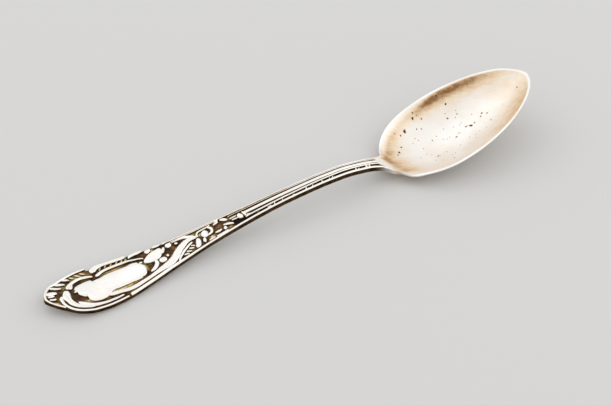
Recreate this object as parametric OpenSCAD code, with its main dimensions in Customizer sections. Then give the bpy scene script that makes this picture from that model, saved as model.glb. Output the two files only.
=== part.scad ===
// Old silver-plated table spoon with a scrolled, flowered handle, lying on a table.
// The tip of the handle points to -X, the tip of the bowl to +X, and the table is at zero height.
// The handle keeps the low side of its ornament at -Y.

/* [Whole spoon] */
// Length of the handle, from its tip to the bowl
handle_l = 142; // [120:1:170]
// Length of the bowl, from the neck to its tip
bowl_l = 68; // [55:1:80]

/* [Bowl] */
// Width of the bowl over its rim
bowl_w = 39.6; // [32:0.1:48]
// Depth of the bowl under its rim
bowl_depth = 7.7; // [6:0.1:9]
// Width of the rim's top edge
rim_w = 1; // [0.8:0.1:1.6]
// Height of the rim's outer edge
rim_lip = 0.6; // [0.4:0.1:1]
// Thickness of the bowl's floor
bowl_wall = 1.1; // [0.8:0.1:1.5]
// Height of the rim over the table, beside the neck
rim_heel_z = 4.1; // [3.9:0.1:4.8]
// Height of the rim over the table, at the bowl's tip
rim_tip_z = 19.7; // [17.5:0.1:21.5]

/* [Handle] */
// Width of the handle at its broad end
blade_w = 22.2; // [18:0.1:26]
// Width of the stem
stem_w = 6.1; // [5:0.1:7.5]
// Width of the neck where it meets the bowl
neck_w = 11.4; // [10:0.1:13]
// Thickness of the broad end under its ornament
blade_t = 1.6; // [1.2:0.1:2]
// Thickness of the stem under its reeds
stem_t = 2.2; // [1.8:0.1:2.8]
// Thickness of the neck where it meets the bowl
neck_t = 2.4; // [2:0.1:3]
// Height of the arch under the stem
arch_h = 7.6; // [5:0.1:9]

/* [Ornament] */
// Height of the ornament over the ground of the handle
relief_h = 0.7; // [0.4:0.05:0.9]
// Height of the reeds and edge threads
thread_h = 0.5; // [0.3:0.05:0.7]
// Width of the threads along the edges
thread_w = 0.8; // [0.6:0.05:1]
// Ridges of the shell at the handle's tip
shell_ridges = 6; // [5:1:8]
// Gap between the ornament and the ground that carries it
seat_gap = 0.02; // [0.01:0.01:0.05]

/* [Hidden] */

// Colours of the worn silver, of the dark ground and of the bright high points
silver = "#d8d2c4";
ground = "#6f6250";
bright = "#f1ede2";

total_l = handle_l + bowl_l;
blade_end_share = 0.56;
neck_start_share = 0.915;
blade_end = blade_end_share * handle_l;
neck_start = neck_start_share * handle_l;
centre_share = 0.43;
bowl_centre = handle_l + centre_share * bowl_l;

// Steps along the pieces and round the bowl
blade_steps = 44;
stem_steps = 26;
neck_steps = 10;
bowl_rings = 11;
bowl_spokes = 64;

// Shape of the bowl's outline and section, each a power of the way out from its widest place
tip_bend_share = 1.8;
tip_round_share = 0.63;
heel_bend_share = 2.2;
heel_round_share = 0.48;
section_share = 2.3;
heel_reach_share = 0.96;

// Lean of the worn tip to the far side, and how late the leans of the tip and the heel set in
tip_lean_share = 0.04;
tip_lean_bend_share = 4;
heel_lean_bend_share = 5;

// Roundness of the hollow's inner rings ahead and behind, and how late they take the outline's form
tip_ring_share = 1.85;
heel_ring_share = 2.4;
ring_late_share = 5;

// Shape of the handle's round end
end_share = 0.141;
end_bend_share = 2.5;
end_round_share = 0.75;
end_flat_share = 0.05;

// Half width of the handle between the stem's and the broad end's, along its length
taper_shares = [
  [0.141, 1], [0.197, 0.89], [0.254, 0.72], [0.324, 0.495], [0.408, 0.3],
  [0.493, 0.17], [0.592, 0.06], [0.7, 0.01], [0.83, 0], [1, 0],
];
// How far the neck has opened from the stem's width to its own, along the handle
flare_shares = [[0.85, 0], [0.93, 0.02], [0.972, 0.2], [1, 1]];
// Side of the handle's middle line, as a share of half the broad end's width
lean_shares = [
  [0, 0.05], [0.02, 0.085], [0.035, 0.085], [0.05, 0.03], [0.066, 0.01], [0.09, 0],
  [0.12, 0.02], [0.14, 0.02], [0.165, 0], [0.96, 0], [0.98, -0.015], [1, -0.072],
];
// Height of the underside as a share of the arch, along the handle
arch_shares = [
  [0, 0.4], [0.035, 0.24], [0.07, 0.12], [0.141, 0], [0.19, 0], [0.246, 0.06], [0.352, 0.25],
  [0.458, 0.5], [0.563, 0.71], [0.68, 0.91], [0.8, 1], [0.85, 0.985], [0.93, 0.78],
  [0.972, 0.55], [1, 0.36],
];
// Way from the blade's thickness to the stem's, and from the stem's to the neck's
thick_shares = [[0, 0], [0.3, 0.1], [0.6, 1], [1, 1]];
neck_thick_shares = [[0, 0], [0.9, 0], [1, 1]];
// Height of the rim from its heel to its tip, along the bowl
rim_rise_shares = [
  [0.06, 0], [0.13, 0.1], [0.27, 0.27], [0.44, 0.48], [0.63, 0.71],
  [0.82, 0.925], [0.92, 1], [1, 1],
];

// How the bowl opens from the neck, and the neck's side edge under its section's corner
flare_slope_share = 0.45;
neck_reach_share = 0.16;
neck_edge_share = 0.58;
neck_edge = neck_t * neck_edge_share;
mouth_shares = [0.5, 0, -0.5];
rim_least_share = 0.05;

// Steps from one hand-placed point to the next along the ornament, and steps along the threads
span_steps = 2;
thread_steps = 34;
end_steps = 12;

// Threads: where each starts and ends along the handle, its place between the axis and the edge,
// and its width in the edge threads' width
near_thread_shares = [0.193, 1, -1, 1.25];
far_thread_shares = [[0.345, 1, 1, 1], [0.36, 0.485, 0.86, 0.6]];
inner_thread_shares = [0.52, 0.975, 0.75, 0.6];
reed_shares = [[0.563, 0.975, 0.267, 2], [0.565, 0.975, -0.365, 1.1]];

// Places of the ornament: each row is a distance along the handle, a side position in the
// half width and a half width, the last as a share of the broad end's width
foot_share = 1.1;
look_share = 0.01;
rib_high_share = 0.8;
shell_border_shares = [
  [0.036, -0.92, 0.02], [0.022, -0.88, 0.02], [0.01, -0.75, 0.02], [0.005, 0, 0.02],
  [0.01, 0.78, 0.02], [0.022, 0.9, 0.022], [0.036, 0.93, 0.022], [0.06, 0.955, 0.022],
  [0.1, 0.985, 0.02], [0.13, 0.99, 0.018], [0.146, 0.985, 0.013],
];
// Outer and inner ends of the shell's ridges, and how much a ridge swells between them
shell_out_shares = [
  [0.012, -0.2, 0.022], [0.013, 0.22, 0.022], [0.013, 0.6, 0.034], [0.032, 0.82, 0.026],
  [0.05, 0.9, 0.028], [0.074, 0.94, 0.024],
];
shell_in_shares = [
  [0.03, -0.16, 0.014], [0.031, 0.12, 0.014], [0.042, 0.3, 0.026], [0.06, 0.53, 0.016],
  [0.075, 0.65, 0.016], [0.092, 0.76, 0.014],
];
ridge_swell_shares = [0, 0, 0.007];
shell_fan_shares = [
  [[0.095, 0.9, 0.014], [0.101, 0.83, 0.022], [0.105, 0.74, 0.012]],
  [[0.11, 0.9, 0.014], [0.116, 0.83, 0.022], [0.12, 0.74, 0.012]],
  [[0.125, 0.9, 0.014], [0.131, 0.82, 0.022], [0.135, 0.74, 0.012]],
];
cartouche_shares = [
  [0.087, -0.02, 0.03], [0.092, 0, 0.08], [0.1, 0.05, 0.16], [0.11, 0.01, 0.21],
  [0.121, -0.04, 0.24], [0.132, -0.075, 0.244], [0.143, -0.075, 0.222], [0.153, -0.03, 0.196],
  [0.166, 0, 0.186], [0.18, 0.025, 0.198], [0.2, 0.02, 0.2], [0.22, 0, 0.195],
  [0.235, -0.02, 0.196], [0.248, 0.035, 0.19], [0.258, 0.05, 0.15], [0.266, 0.05, 0.09],
  [0.272, 0.04, 0.036],
];
near_scroll_shares = [
  [0.067, 0.32, 0.028], [0.062, 0.18, 0.055], [0.056, -0.06, 0.064], [0.056, -0.3, 0.05],
  [0.058, -0.5, 0.05], [0.066, -0.66, 0.04], [0.082, -0.76, 0.03], [0.1, -0.83, 0.018],
];
near_rim_scroll_shares = [
  [0.047, 0.05, 0.02], [0.041, -0.15, 0.028], [0.039, -0.4, 0.026], [0.039, -0.62, 0.025],
  [0.044, -0.82, 0.025], [0.056, -0.92, 0.025], [0.08, -0.95, 0.022], [0.11, -0.955, 0.02],
  [0.15, -0.955, 0.02], [0.188, -0.955, 0.017],
];
near_inner_scroll_shares = [
  [0.071, -0.44, 0.015], [0.08, -0.53, 0.04], [0.092, -0.65, 0.046], [0.105, -0.74, 0.038],
  [0.125, -0.79, 0.028], [0.15, -0.82, 0.024], [0.18, -0.82, 0.015],
];
far_scroll_shares = [
  [
    [0.152, 0.72, 0.03], [0.157, 0.8, 0.05], [0.168, 0.9, 0.045], [0.185, 0.95, 0.034],
    [0.2, 0.955, 0.032], [0.22, 0.95, 0.032], [0.24, 0.945, 0.028], [0.248, 0.94, 0.018],
  ],
  [
    [0.252, 0.8, 0.014], [0.259, 0.88, 0.026], [0.27, 0.92, 0.027], [0.28, 0.93, 0.025],
    [0.292, 0.95, 0.014],
  ],
];
scroll_rib_shares = [
  [[0.172, 0.7, 0.012], [0.177, 0.79, 0.018], [0.181, 0.87, 0.012]],
  [[0.187, 0.74, 0.012], [0.191, 0.81, 0.016], [0.195, 0.88, 0.012]],
  [[0.202, 0.75, 0.012], [0.206, 0.81, 0.016], [0.21, 0.88, 0.012]],
  [[0.217, 0.75, 0.012], [0.221, 0.81, 0.016], [0.225, 0.88, 0.012]],
  [[0.23, 0.74, 0.014], [0.234, 0.81, 0.02], [0.237, 0.88, 0.014]],
  [[0.241, 0.73, 0.014], [0.244, 0.8, 0.02], [0.246, 0.87, 0.012]],
];
far_inner_scroll_shares = [
  [0.154, 0.5, 0.02], [0.163, 0.56, 0.027], [0.175, 0.63, 0.025], [0.19, 0.67, 0.025],
  [0.205, 0.685, 0.024], [0.22, 0.685, 0.024], [0.235, 0.68, 0.022], [0.247, 0.66, 0.018],
  [0.258, 0.61, 0.014], [0.27, 0.56, 0.012], [0.281, 0.46, 0.01],
];
c_scroll_shares = [
  [0.07, 0.41, 0.025], [0.08, 0.52, 0.035], [0.095, 0.62, 0.03], [0.115, 0.65, 0.027],
  [0.133, 0.61, 0.025], [0.148, 0.52, 0.015],
];
c_curl_shares = [
  [[0.075, 0.35, 0.016], [0.082, 0.39, 0.022], [0.089, 0.49, 0.012]],
  [[0.08, 0.09, 0.012], [0.086, 0.14, 0.02], [0.091, 0.22, 0.012]],
];
long_leaf_shares = [
  [0.148, -0.56, 0.02], [0.16, -0.555, 0.034], [0.18, -0.615, 0.03], [0.2, -0.68, 0.034],
  [0.22, -0.71, 0.034], [0.24, -0.705, 0.032], [0.26, -0.695, 0.03], [0.28, -0.66, 0.035],
  [0.3, -0.62, 0.046], [0.315, -0.6, 0.057], [0.33, -0.54, 0.063], [0.345, -0.4, 0.063],
  [0.36, -0.15, 0.06], [0.372, 0.04, 0.056], [0.384, 0.18, 0.05], [0.394, 0.28, 0.043],
  [0.405, 0.3, 0.035], [0.415, 0.26, 0.029], [0.424, 0.2, 0.018],
];
leaf_rib_shares = [
  [
    [0.346, -0.85, 0.012], [0.35, -0.75, 0.018], [0.357, -0.6, 0.02], [0.365, -0.48, 0.02],
    [0.373, -0.35, 0.022], [0.383, -0.24, 0.02], [0.393, -0.12, 0.02], [0.401, -0.05, 0.018],
    [0.406, -0.05, 0.012],
  ],
  [
    [0.364, 0.73, 0.01], [0.375, 0.74, 0.014], [0.388, 0.745, 0.02], [0.398, 0.72, 0.028],
    [0.406, 0.6, 0.034], [0.413, 0.47, 0.032], [0.42, 0.35, 0.02],
  ],
];
flute_shares = [
  [[0.366, -0.62, 0.014], [0.373, -0.69, 0.02], [0.38, -0.76, 0.012]],
  [[0.376, -0.5, 0.014], [0.383, -0.6, 0.02], [0.389, -0.7, 0.012]],
  [[0.387, -0.38, 0.014], [0.393, -0.48, 0.022], [0.399, -0.58, 0.012]],
  [[0.395, -0.24, 0.012], [0.4, -0.34, 0.018], [0.404, -0.46, 0.01]],
];
large_petal_shares = [
  [
    [0.275, 0.18, 0.02], [0.282, 0.23, 0.055], [0.291, 0.28, 0.078], [0.3, 0.33, 0.09],
    [0.309, 0.38, 0.095], [0.318, 0.47, 0.082], [0.326, 0.57, 0.055], [0.333, 0.66, 0.028],
  ],
  [[0.327, 0.26, 0.018], [0.331, 0.36, 0.026], [0.336, 0.51, 0.026], [0.34, 0.64, 0.014]],
];
small_petal_shares = [
  [
    [0.3, 0.03, 0.016], [0.301, -0.08, 0.03], [0.298, -0.22, 0.034], [0.29, -0.34, 0.034],
    [0.281, -0.42, 0.028], [0.273, -0.46, 0.014],
  ],
  [[0.307, -0.12, 0.026], [0.314, -0.14, 0.05], [0.321, -0.13, 0.048], [0.327, -0.06, 0.024]],
  [[0.33, -0.02, 0.014], [0.334, -0.04, 0.026], [0.338, -0.03, 0.014]],
  [[0.344, 0.63, 0.024], [0.35, 0.64, 0.048], [0.356, 0.66, 0.044], [0.362, 0.71, 0.02]],
  [[0.367, 0.55, 0.012], [0.371, 0.5, 0.022], [0.375, 0.44, 0.012]],
  [[0.264, 0.3, 0.01], [0.268, 0.28, 0.018], [0.272, 0.25, 0.01]],
];
edge_bead_shares = [
  [[0.293, 0.82, 0.016], [0.299, 0.82, 0.042], [0.305, 0.84, 0.034], [0.311, 0.85, 0.014]],
  [[0.316, 0.92, 0.012], [0.323, 0.94, 0.022], [0.332, 0.93, 0.02], [0.338, 0.92, 0.01]],
  [[0.342, 0.9, 0.01], [0.347, 0.93, 0.018], [0.353, 0.94, 0.01]],
];
blossom_shares = [
  [
    [0.448, 0.42, 0.024], [0.446, 0.25, 0.056], [0.444, 0.05, 0.06], [0.445, -0.12, 0.045],
    [0.448, -0.25, 0.02],
  ],
  [
    [0.459, 0.52, 0.012], [0.464, 0.42, 0.022], [0.466, 0.25, 0.026], [0.464, 0.05, 0.026],
    [0.458, -0.12, 0.024], [0.448, -0.2, 0.018],
  ],
];
bud_shares = [
  [
    [0.422, 0.05, 0.024], [0.419, -0.2, 0.042], [0.415, -0.42, 0.044], [0.41, -0.62, 0.04],
    [0.409, -0.76, 0.022],
  ],
  [[0.436, -0.22, 0.014], [0.434, -0.36, 0.028], [0.432, -0.52, 0.028], [0.431, -0.68, 0.014]],
  [[0.44, -0.72, 0.01], [0.449, -0.7, 0.018], [0.459, -0.72, 0.01]],
];
husk_leaf_shares = [
  [
    [0.425, 0.15, 0.014], [0.427, 0.4, 0.018], [0.434, 0.57, 0.016], [0.45, 0.6, 0.016],
    [0.463, 0.64, 0.014], [0.47, 0.72, 0.01],
  ],
  [[0.462, -0.74, 0.012], [0.48, -0.77, 0.02], [0.498, -0.74, 0.012]],
  [[0.483, 0.74, 0.014], [0.49, 0.84, 0.028], [0.497, 0.92, 0.012]],
  [[0.476, 0.5, 0.012], [0.485, 0.58, 0.022], [0.493, 0.6, 0.012]],
  [[0.498, 0.74, 0.014], [0.505, 0.66, 0.03], [0.511, 0.5, 0.03], [0.514, 0.32, 0.014]],
  [
    [0.496, 0.02, 0.012], [0.503, -0.04, 0.022], [0.512, -0.14, 0.026], [0.518, -0.3, 0.02],
    [0.521, -0.42, 0.01],
  ],
  [[0.497, -0.18, 0.014], [0.496, -0.36, 0.03], [0.493, -0.56, 0.016]],
  [[0.466, -0.34, 0.012], [0.476, -0.35, 0.026], [0.487, -0.34, 0.012]],
  [[0.52, 0.3, 0.012], [0.53, 0.3, 0.016], [0.54, 0.32, 0.01]],
  [[0.522, 0.06, 0.01], [0.532, 0.02, 0.018], [0.54, 0, 0.01]],
];
husk_bead_shares = [
  [[0.548, 0.42, 0.02], [0.547, 0.22, 0.042], [0.548, -0.04, 0.044], [0.55, -0.3, 0.022]],
  [[0.557, 0.42, 0.012], [0.559, 0.2, 0.02], [0.56, -0.05, 0.02], [0.558, -0.28, 0.012]],
];

// Curve that passes smoothly through a table of points without overshooting
function slope(tab, i) = (tab[i + 1][1] - tab[i][1]) / (tab[i + 1][0] - tab[i][0]);
function tangent(tab, i) =
  i == 0 ? slope(tab, 0) :
  i == len(tab) - 1 ? slope(tab, i - 1) :
  slope(tab, i - 1) * slope(tab, i) <= 0 ? 0 :
  2 * slope(tab, i - 1) * slope(tab, i) / (slope(tab, i - 1) + slope(tab, i));
function piece_of(x, tab, i = 0) =
  (i >= len(tab) - 2 || x <= tab[i + 1][0]) ? i : piece_of(x, tab, i + 1);
function smooth_at(x, tab) =
  let (
    i = piece_of(x, tab),
    span = tab[i + 1][0] - tab[i][0],
    u = min(1, max(0, (x - tab[i][0]) / span)),
    a = tab[i][1],
    b = tab[i + 1][1]
  )
  a * (1 + 2 * u) * (1 - u) * (1 - u) + b * u * u * (3 - 2 * u)
  + span * u * (1 - u) * (tangent(tab, i) * (1 - u) - tangent(tab, i + 1) * u);

// Half width of the handle at a distance s from its tip
function end_round(s) =
  s >= end_share * handle_l ? 1 :
  max(end_flat_share, pow(1 - pow(1 - max(s, 0) / (end_share * handle_l), end_bend_share), end_round_share));
function half_w(s) =
  let (u = s / handle_l)
  (stem_w + (blade_w - stem_w) * smooth_at(u, taper_shares)
   + (neck_w - stem_w) * smooth_at(u, flare_shares)) / 2 * end_round(s);

function lean_y(s) = blade_w / 2 * smooth_at(s / handle_l, lean_shares);

// Underside and ground of the handle at a distance s from its tip
function under_z(s) = arch_h * smooth_at(s / handle_l, arch_shares);
function thick(s) =
  blade_t + (stem_t - blade_t) * smooth_at(s / handle_l, thick_shares)
  + (neck_t - stem_t) * smooth_at(s / handle_l, neck_thick_shares);
function ground_z(s) = under_z(s) + thick(s);

// Cross-section of the handle: shares of the half width, and of the thickness from below
section_shares = [
  [-1, 1], [1, 1], [1, 0.42], [0.8, 0.12], [0.5, 0], [-0.5, 0], [-0.8, 0.12], [-1, 0.42],
];
function bar_ring(s) = [
  for (p = section_shares)
    [s - total_l / 2, lean_y(s) + p[0] * half_w(s), under_z(s) + p[1] * thick(s)]
];

// Closed skin over a list of rings with the same number of points
module skin(rings) {
  n = len(rings[0]);
  last = len(rings) - 1;
  points = [for (ring = rings) each ring];
  sides = [
    for (i = [0:last - 1], j = [0:n - 1])
      let (a = i * n + j, b = i * n + (j + 1) % n)
      each [[a, b, b + n], [a, b + n, a + n]]
  ];
  start_cap = [for (j = [1:n - 2]) [0, j + 1, j]];
  end_cap = [for (j = [1:n - 2]) [last * n, last * n + j, last * n + j + 1]];
  polyhedron(points, concat(sides, start_cap, end_cap));
}

// Length of bar between two distances from the handle's tip
module bar(from, to, steps) {
  skin([for (i = [0:steps]) bar_ring(from + (to - from) * i / steps)]);
}

// Smooth path through hand-placed points, each [distance share, side share, half width share]
function path_point(tab, i) =
  i < 0 ? 2 * tab[0] - tab[1] :
  i >= len(tab) ? 2 * tab[len(tab) - 1] - tab[len(tab) - 2] : tab[i];
function path_at(tab, u) =
  let (
    i = min(len(tab) - 2, floor(u)),
    f = u - i,
    p0 = path_point(tab, i - 1),
    p1 = path_point(tab, i),
    p2 = path_point(tab, i + 1),
    p3 = path_point(tab, i + 2)
  )
  p1 + f / 2 * ((p2 - p0) + f * ((2 * p0 - 5 * p1 + 4 * p2 - p3) + f * (3 * p1 - p0 - 3 * p2 + p3)));

// Plan position of a path point, as [distance, side, half width]
function placed(p) =
  let (s = p[0] * handle_l)
  [s, lean_y(s) + p[1] * half_w(s), p[2] * foot_share * blade_w];

// Side kept within the edges of the handle
function kept_in(s, y) = max(lean_y(s) - half_w(s), min(lean_y(s) + half_w(s), y));

// Raised dome across a path: shares of its half width, and of its height
dome_shares = [[-1, 0.3], [-0.6, 0.85], [0, 1], [0.6, 0.85], [1, 0.3]];
function dome_ring(tab, u, high) =
  let (
    c = placed(path_at(tab, u)),
    a = placed(path_at(tab, max(0, u - look_share))),
    b = placed(path_at(tab, min(len(tab) - 1, u + look_share))),
    d = [b[0] - a[0], b[1] - a[1]] / norm([b[0] - a[0], b[1] - a[1]])
  )
  concat(
    [for (p = dome_shares)
      let (s = c[0] - d[1] * p[0] * c[2], y = c[1] + d[0] * p[0] * c[2])
      [s - total_l / 2, kept_in(s, y), ground_z(s) + seat_gap + p[1] * high]],
    [for (o = [1, 0, -1])
      let (s = c[0] - d[1] * o * c[2], y = c[1] + d[0] * o * c[2])
      [s - total_l / 2, kept_in(s, y), ground_z(s) + seat_gap]]
  );
module raised(tab, high) {
  skin([for (i = [0:span_steps * (len(tab) - 1)]) dome_ring(tab, i / span_steps, high)]);
}
module all_raised(tabs, high) {
  color(bright)
    for (tab = tabs) raised(tab, high);
}

// Thread that keeps its share of the half width, from a row of [start, end, side, width]
thread_section_shares = [[-1, 0.4], [-0.5, 1], [0.5, 1], [1, 0.4], [1, 0], [-1, 0]];
module thread(row) {
  wide = row[3] * thread_w;
  color(bright) skin([
    for (i = [0:thread_steps])
      let (s = (row[0] + (row[1] - row[0]) * i / thread_steps) * handle_l)
      [for (p = thread_section_shares)
        let (y = lean_y(s) + row[2] * (half_w(s) - wide / 2) + p[0] * wide / 2)
        [s - total_l / 2, y, ground_z(s) + seat_gap + p[1] * thread_h]]
  ]);
}

// Half width of the bowl at a distance x from the neck
function bowl_half(x) =
  let (
    widest = centre_share * bowl_l,
    ahead = min(1, max(0, (x - widest) / (bowl_l - widest))),
    behind = min(1, max(0, (widest - x) / (widest * heel_reach_share))),
    egg = x > widest
      ? pow(1 - pow(ahead, tip_bend_share), tip_round_share)
      : pow(1 - pow(behind, heel_bend_share), heel_round_share)
  )
  x > widest ? egg * bowl_w / 2 :
  pow(pow(1 - x / widest, 2) * pow(neck_w / 2 + flare_slope_share * x, 3) + pow(egg * bowl_w / 2, 3), 1 / 3);

// Side of the outline's middle line, which meets the neck's own
function bowl_lean(x) =
  let (
    widest = centre_share * bowl_l,
    ahead = max(0, (x - widest) / (bowl_l - widest)),
    behind = max(0, (widest - x) / widest)
  )
  tip_lean_share * bowl_w * pow(ahead, tip_lean_bend_share)
  + lean_y(handle_l) * pow(behind, heel_lean_bend_share);

// Height of the rim, which leaves the neck at the neck's own height
function rim_z(x) =
  let (start = [0, (ground_z(handle_l) - rim_heel_z) / (rim_tip_z - rim_heel_z)])
  rim_heel_z + (rim_tip_z - rim_heel_z) * smooth_at(x / bowl_l, concat([start], rim_rise_shares));

// Points round the outline, as [distance from the neck, side, width of rim, height of edge]
function edge_point(angle, side) =
  let (
    widest = centre_share * bowl_l,
    x = widest + (cos(angle) > 0 ? bowl_l - widest : widest) * cos(angle),
    near = pow(max(0, 1 - x / (neck_reach_share * bowl_l)), 2)
  )
  [
    x, bowl_lean(x) + side * bowl_half(x),
    rim_w * max(rim_least_share, 1 - near), rim_lip + (neck_edge - rim_lip) * near,
  ];
edge_angles = [for (i = [0:bowl_spokes / 2]) 180 * i / (bowl_spokes / 2)];
far_edge = [for (a = edge_angles) edge_point(a, 1)];
mouth = [
  for (y = mouth_shares) [0, bowl_lean(0) + y * neck_w / 2, rim_w * rim_least_share, neck_t]
];
near_edge = [for (i = [len(edge_angles) - 1:-1:1]) edge_point(edge_angles[i], -1)];
outline = concat(far_edge, mouth, near_edge);

// Reach of the round inner rings in a point's direction, as a share of the outline's reach
function ring_reach(p) =
  let (
    widest = centre_share * bowl_l,
    ahead = p[0] > widest,
    bend = ahead ? tip_ring_share : heel_ring_share,
    u = abs(p[0] - widest) / (ahead ? bowl_l - widest : widest * heel_reach_share)
  )
  pow(pow(u, bend) + pow(abs(p[1]) / (bowl_w / 2), bend), -1 / bend);

// A ring of the bowl's hollow or of its back, at a share r of the way to the rim
function hollow_z(x, r) = rim_z(x) - bowl_depth * (1 - pow(r, section_share));
function bowl_point(p, r, inset, drop) =
  let (
    c = centre_share * bowl_l,
    reach = norm([p[0] - c, p[1]]),
    round_share = ring_reach(p),
    k = r * (reach - inset) / reach * (round_share + (1 - round_share) * pow(r, ring_late_share)),
    x = c + (p[0] - c) * k
  )
  [handle_l - total_l / 2 + x, p[1] * k, max(drop > 0 ? 0 : bowl_wall, hollow_z(x, r) - drop)];
function hollow_ring(r) = [for (p = outline) bowl_point(p, r, p[2], 0)];
function back_ring(r) = [
  for (p = outline) bowl_point(p, r, 0, bowl_wall + (p[3] - bowl_wall) * pow(r, 3))
];

module bowl() {
  n = len(outline);
  rings = concat(
    [for (i = [1:bowl_rings]) hollow_ring(i / bowl_rings)],
    [[for (p = outline) bowl_point(p, 1, 0, 0)]],
    [for (i = [bowl_rings:-1:1]) back_ring(i / bowl_rings)]
  );
  last = len(rings) - 1;
  centre = [handle_l - total_l / 2 + centre_share * bowl_l, 0];
  points = concat(
    [for (ring = rings) each ring],
    [[centre[0], centre[1], hollow_z(centre_share * bowl_l, 0)]],
    [[centre[0], centre[1], hollow_z(centre_share * bowl_l, 0) - bowl_wall]]
  );
  sides = [
    for (i = [0:last - 1], j = [0:n - 1])
      let (a = i * n + j, b = i * n + (j + 1) % n)
      each [[a, b, b + n], [a, b + n, a + n]]
  ];
  top = [for (j = [0:n - 1]) [len(points) - 2, (j + 1) % n, j]];
  foot = [for (j = [0:n - 1]) [len(points) - 1, last * n + j, last * n + (j + 1) % n]];
  color(silver) polyhedron(points, concat(sides, top, foot));
}

module neck() {
  color(silver) bar(neck_start, handle_l, neck_steps);
}

module stem() {
  color(silver) bar(blade_end, neck_start, stem_steps);
}

module handle_blade() {
  round_l = end_share * handle_l;
  color(ground) skin(concat(
    [for (i = [0:end_steps - 1]) bar_ring(round_l * (1 - cos(90 * i / end_steps)))],
    [for (i = [0:blade_steps]) bar_ring(round_l + (blade_end - round_l) * i / blade_steps)]
  ));
}

module near_edge_thread() {
  thread(near_thread_shares);
}

module far_edge_thread() {
  for (row = far_thread_shares) thread(row);
}

module far_inner_thread() {
  thread(inner_thread_shares);
}

// Two flat reeds that fill the middle of the stem
module centre_reeds() {
  for (row = reed_shares) thread(row);
}

// Shell at the tip: a border, ridges that spread towards it, and a low fan on its far side
module terminal_shell() {
  all_raised([shell_border_shares], relief_h);
  all_raised([
    for (i = [0:shell_ridges - 1])
      let (
        u = (len(shell_out_shares) - 1) * i / (shell_ridges - 1),
        from = path_at(shell_out_shares, u),
        to = path_at(shell_in_shares, u)
      )
      [from, (from + to) / 2 + ridge_swell_shares, to]
  ], relief_h);
  all_raised(shell_fan_shares, relief_h * rib_high_share);
}

module cartouche() {
  all_raised([cartouche_shares], relief_h);
}

module near_scroll() {
  all_raised([near_scroll_shares], relief_h);
}

module near_rim_scroll() {
  all_raised([near_rim_scroll_shares], relief_h);
}

module near_inner_scroll() {
  all_raised([near_inner_scroll_shares], relief_h);
}

// Scroll along the far edge, with short ribs across the channel inside it
module far_scroll() {
  all_raised(far_scroll_shares, relief_h);
  all_raised(scroll_rib_shares, relief_h * rib_high_share);
}

module far_inner_scroll() {
  all_raised([far_inner_scroll_shares], relief_h);
}

module c_scroll() {
  all_raised([c_scroll_shares], relief_h);
  all_raised(c_curl_shares, relief_h);
}

// Long leaf: a stalk along the low side that swells and sweeps across the handle
module long_leaf() {
  all_raised([long_leaf_shares], relief_h);
}

module leaf_rib() {
  all_raised(leaf_rib_shares, relief_h * rib_high_share);
}

module leaf_flutes() {
  all_raised(flute_shares, relief_h * rib_high_share);
}

module large_petal() {
  all_raised(large_petal_shares, relief_h);
}

module small_petals() {
  all_raised(small_petal_shares, relief_h);
}

module edge_beads() {
  all_raised(edge_bead_shares, relief_h);
}

module blossom() {
  all_raised(blossom_shares, relief_h);
}

module buds() {
  all_raised(bud_shares, relief_h);
}

module husk_leaves() {
  all_raised(husk_leaf_shares, relief_h * rib_high_share);
}

module husk_bead() {
  all_raised(husk_bead_shares, relief_h);
}

bowl();
neck();
stem();
handle_blade();
near_edge_thread();
far_edge_thread();
far_inner_thread();
centre_reeds();
terminal_shell();
cartouche();
near_scroll();
near_rim_scroll();
near_inner_scroll();
far_scroll();
far_inner_scroll();
c_scroll();
long_leaf();
leaf_rib();
leaf_flutes();
large_petal();
small_petals();
edge_beads();
blossom();
buds();
husk_leaves();
husk_bead();
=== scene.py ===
"""An old silver-plated table spoon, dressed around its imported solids.

The handle is struck with a shell, scrolls, leaves and flowers, the stem is reeded, and the bowl is
egg-shaped with a pointed tip. Lengths are in metres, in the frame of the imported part: +X runs from
the tip of the handle to the tip of the bowl, +Y is the high side of the ornament, and the table
lies at zero height. A distance s along the spoon is counted from the tip of the handle.
"""

from __future__ import annotations

import logging
import math
from dataclasses import dataclass
from enum import Enum

import bpy
import numpy as np
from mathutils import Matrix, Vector

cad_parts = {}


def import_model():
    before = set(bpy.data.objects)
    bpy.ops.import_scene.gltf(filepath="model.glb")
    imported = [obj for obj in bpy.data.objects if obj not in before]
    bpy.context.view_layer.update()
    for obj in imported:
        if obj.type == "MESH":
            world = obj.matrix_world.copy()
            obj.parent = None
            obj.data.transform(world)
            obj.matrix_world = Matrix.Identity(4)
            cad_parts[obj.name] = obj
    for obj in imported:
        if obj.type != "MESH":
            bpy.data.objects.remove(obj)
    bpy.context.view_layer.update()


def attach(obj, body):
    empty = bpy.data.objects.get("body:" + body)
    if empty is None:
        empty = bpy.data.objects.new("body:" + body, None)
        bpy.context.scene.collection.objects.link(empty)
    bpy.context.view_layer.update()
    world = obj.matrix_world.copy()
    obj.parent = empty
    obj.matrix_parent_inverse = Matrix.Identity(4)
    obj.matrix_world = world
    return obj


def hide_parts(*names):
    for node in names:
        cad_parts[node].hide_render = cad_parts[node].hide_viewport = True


logging.basicConfig(level=logging.INFO, format="%(message)s")
log = logging.getLogger("spoon")

Table = tuple[tuple[float, ...], ...]
Span = tuple[float, float]
Colour = tuple[float, float, float]
Socket = bpy.types.NodeSocket
Input = Socket | float | Colour

MM = 1e-3


# ---------------------------------------------------------------- curves


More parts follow.
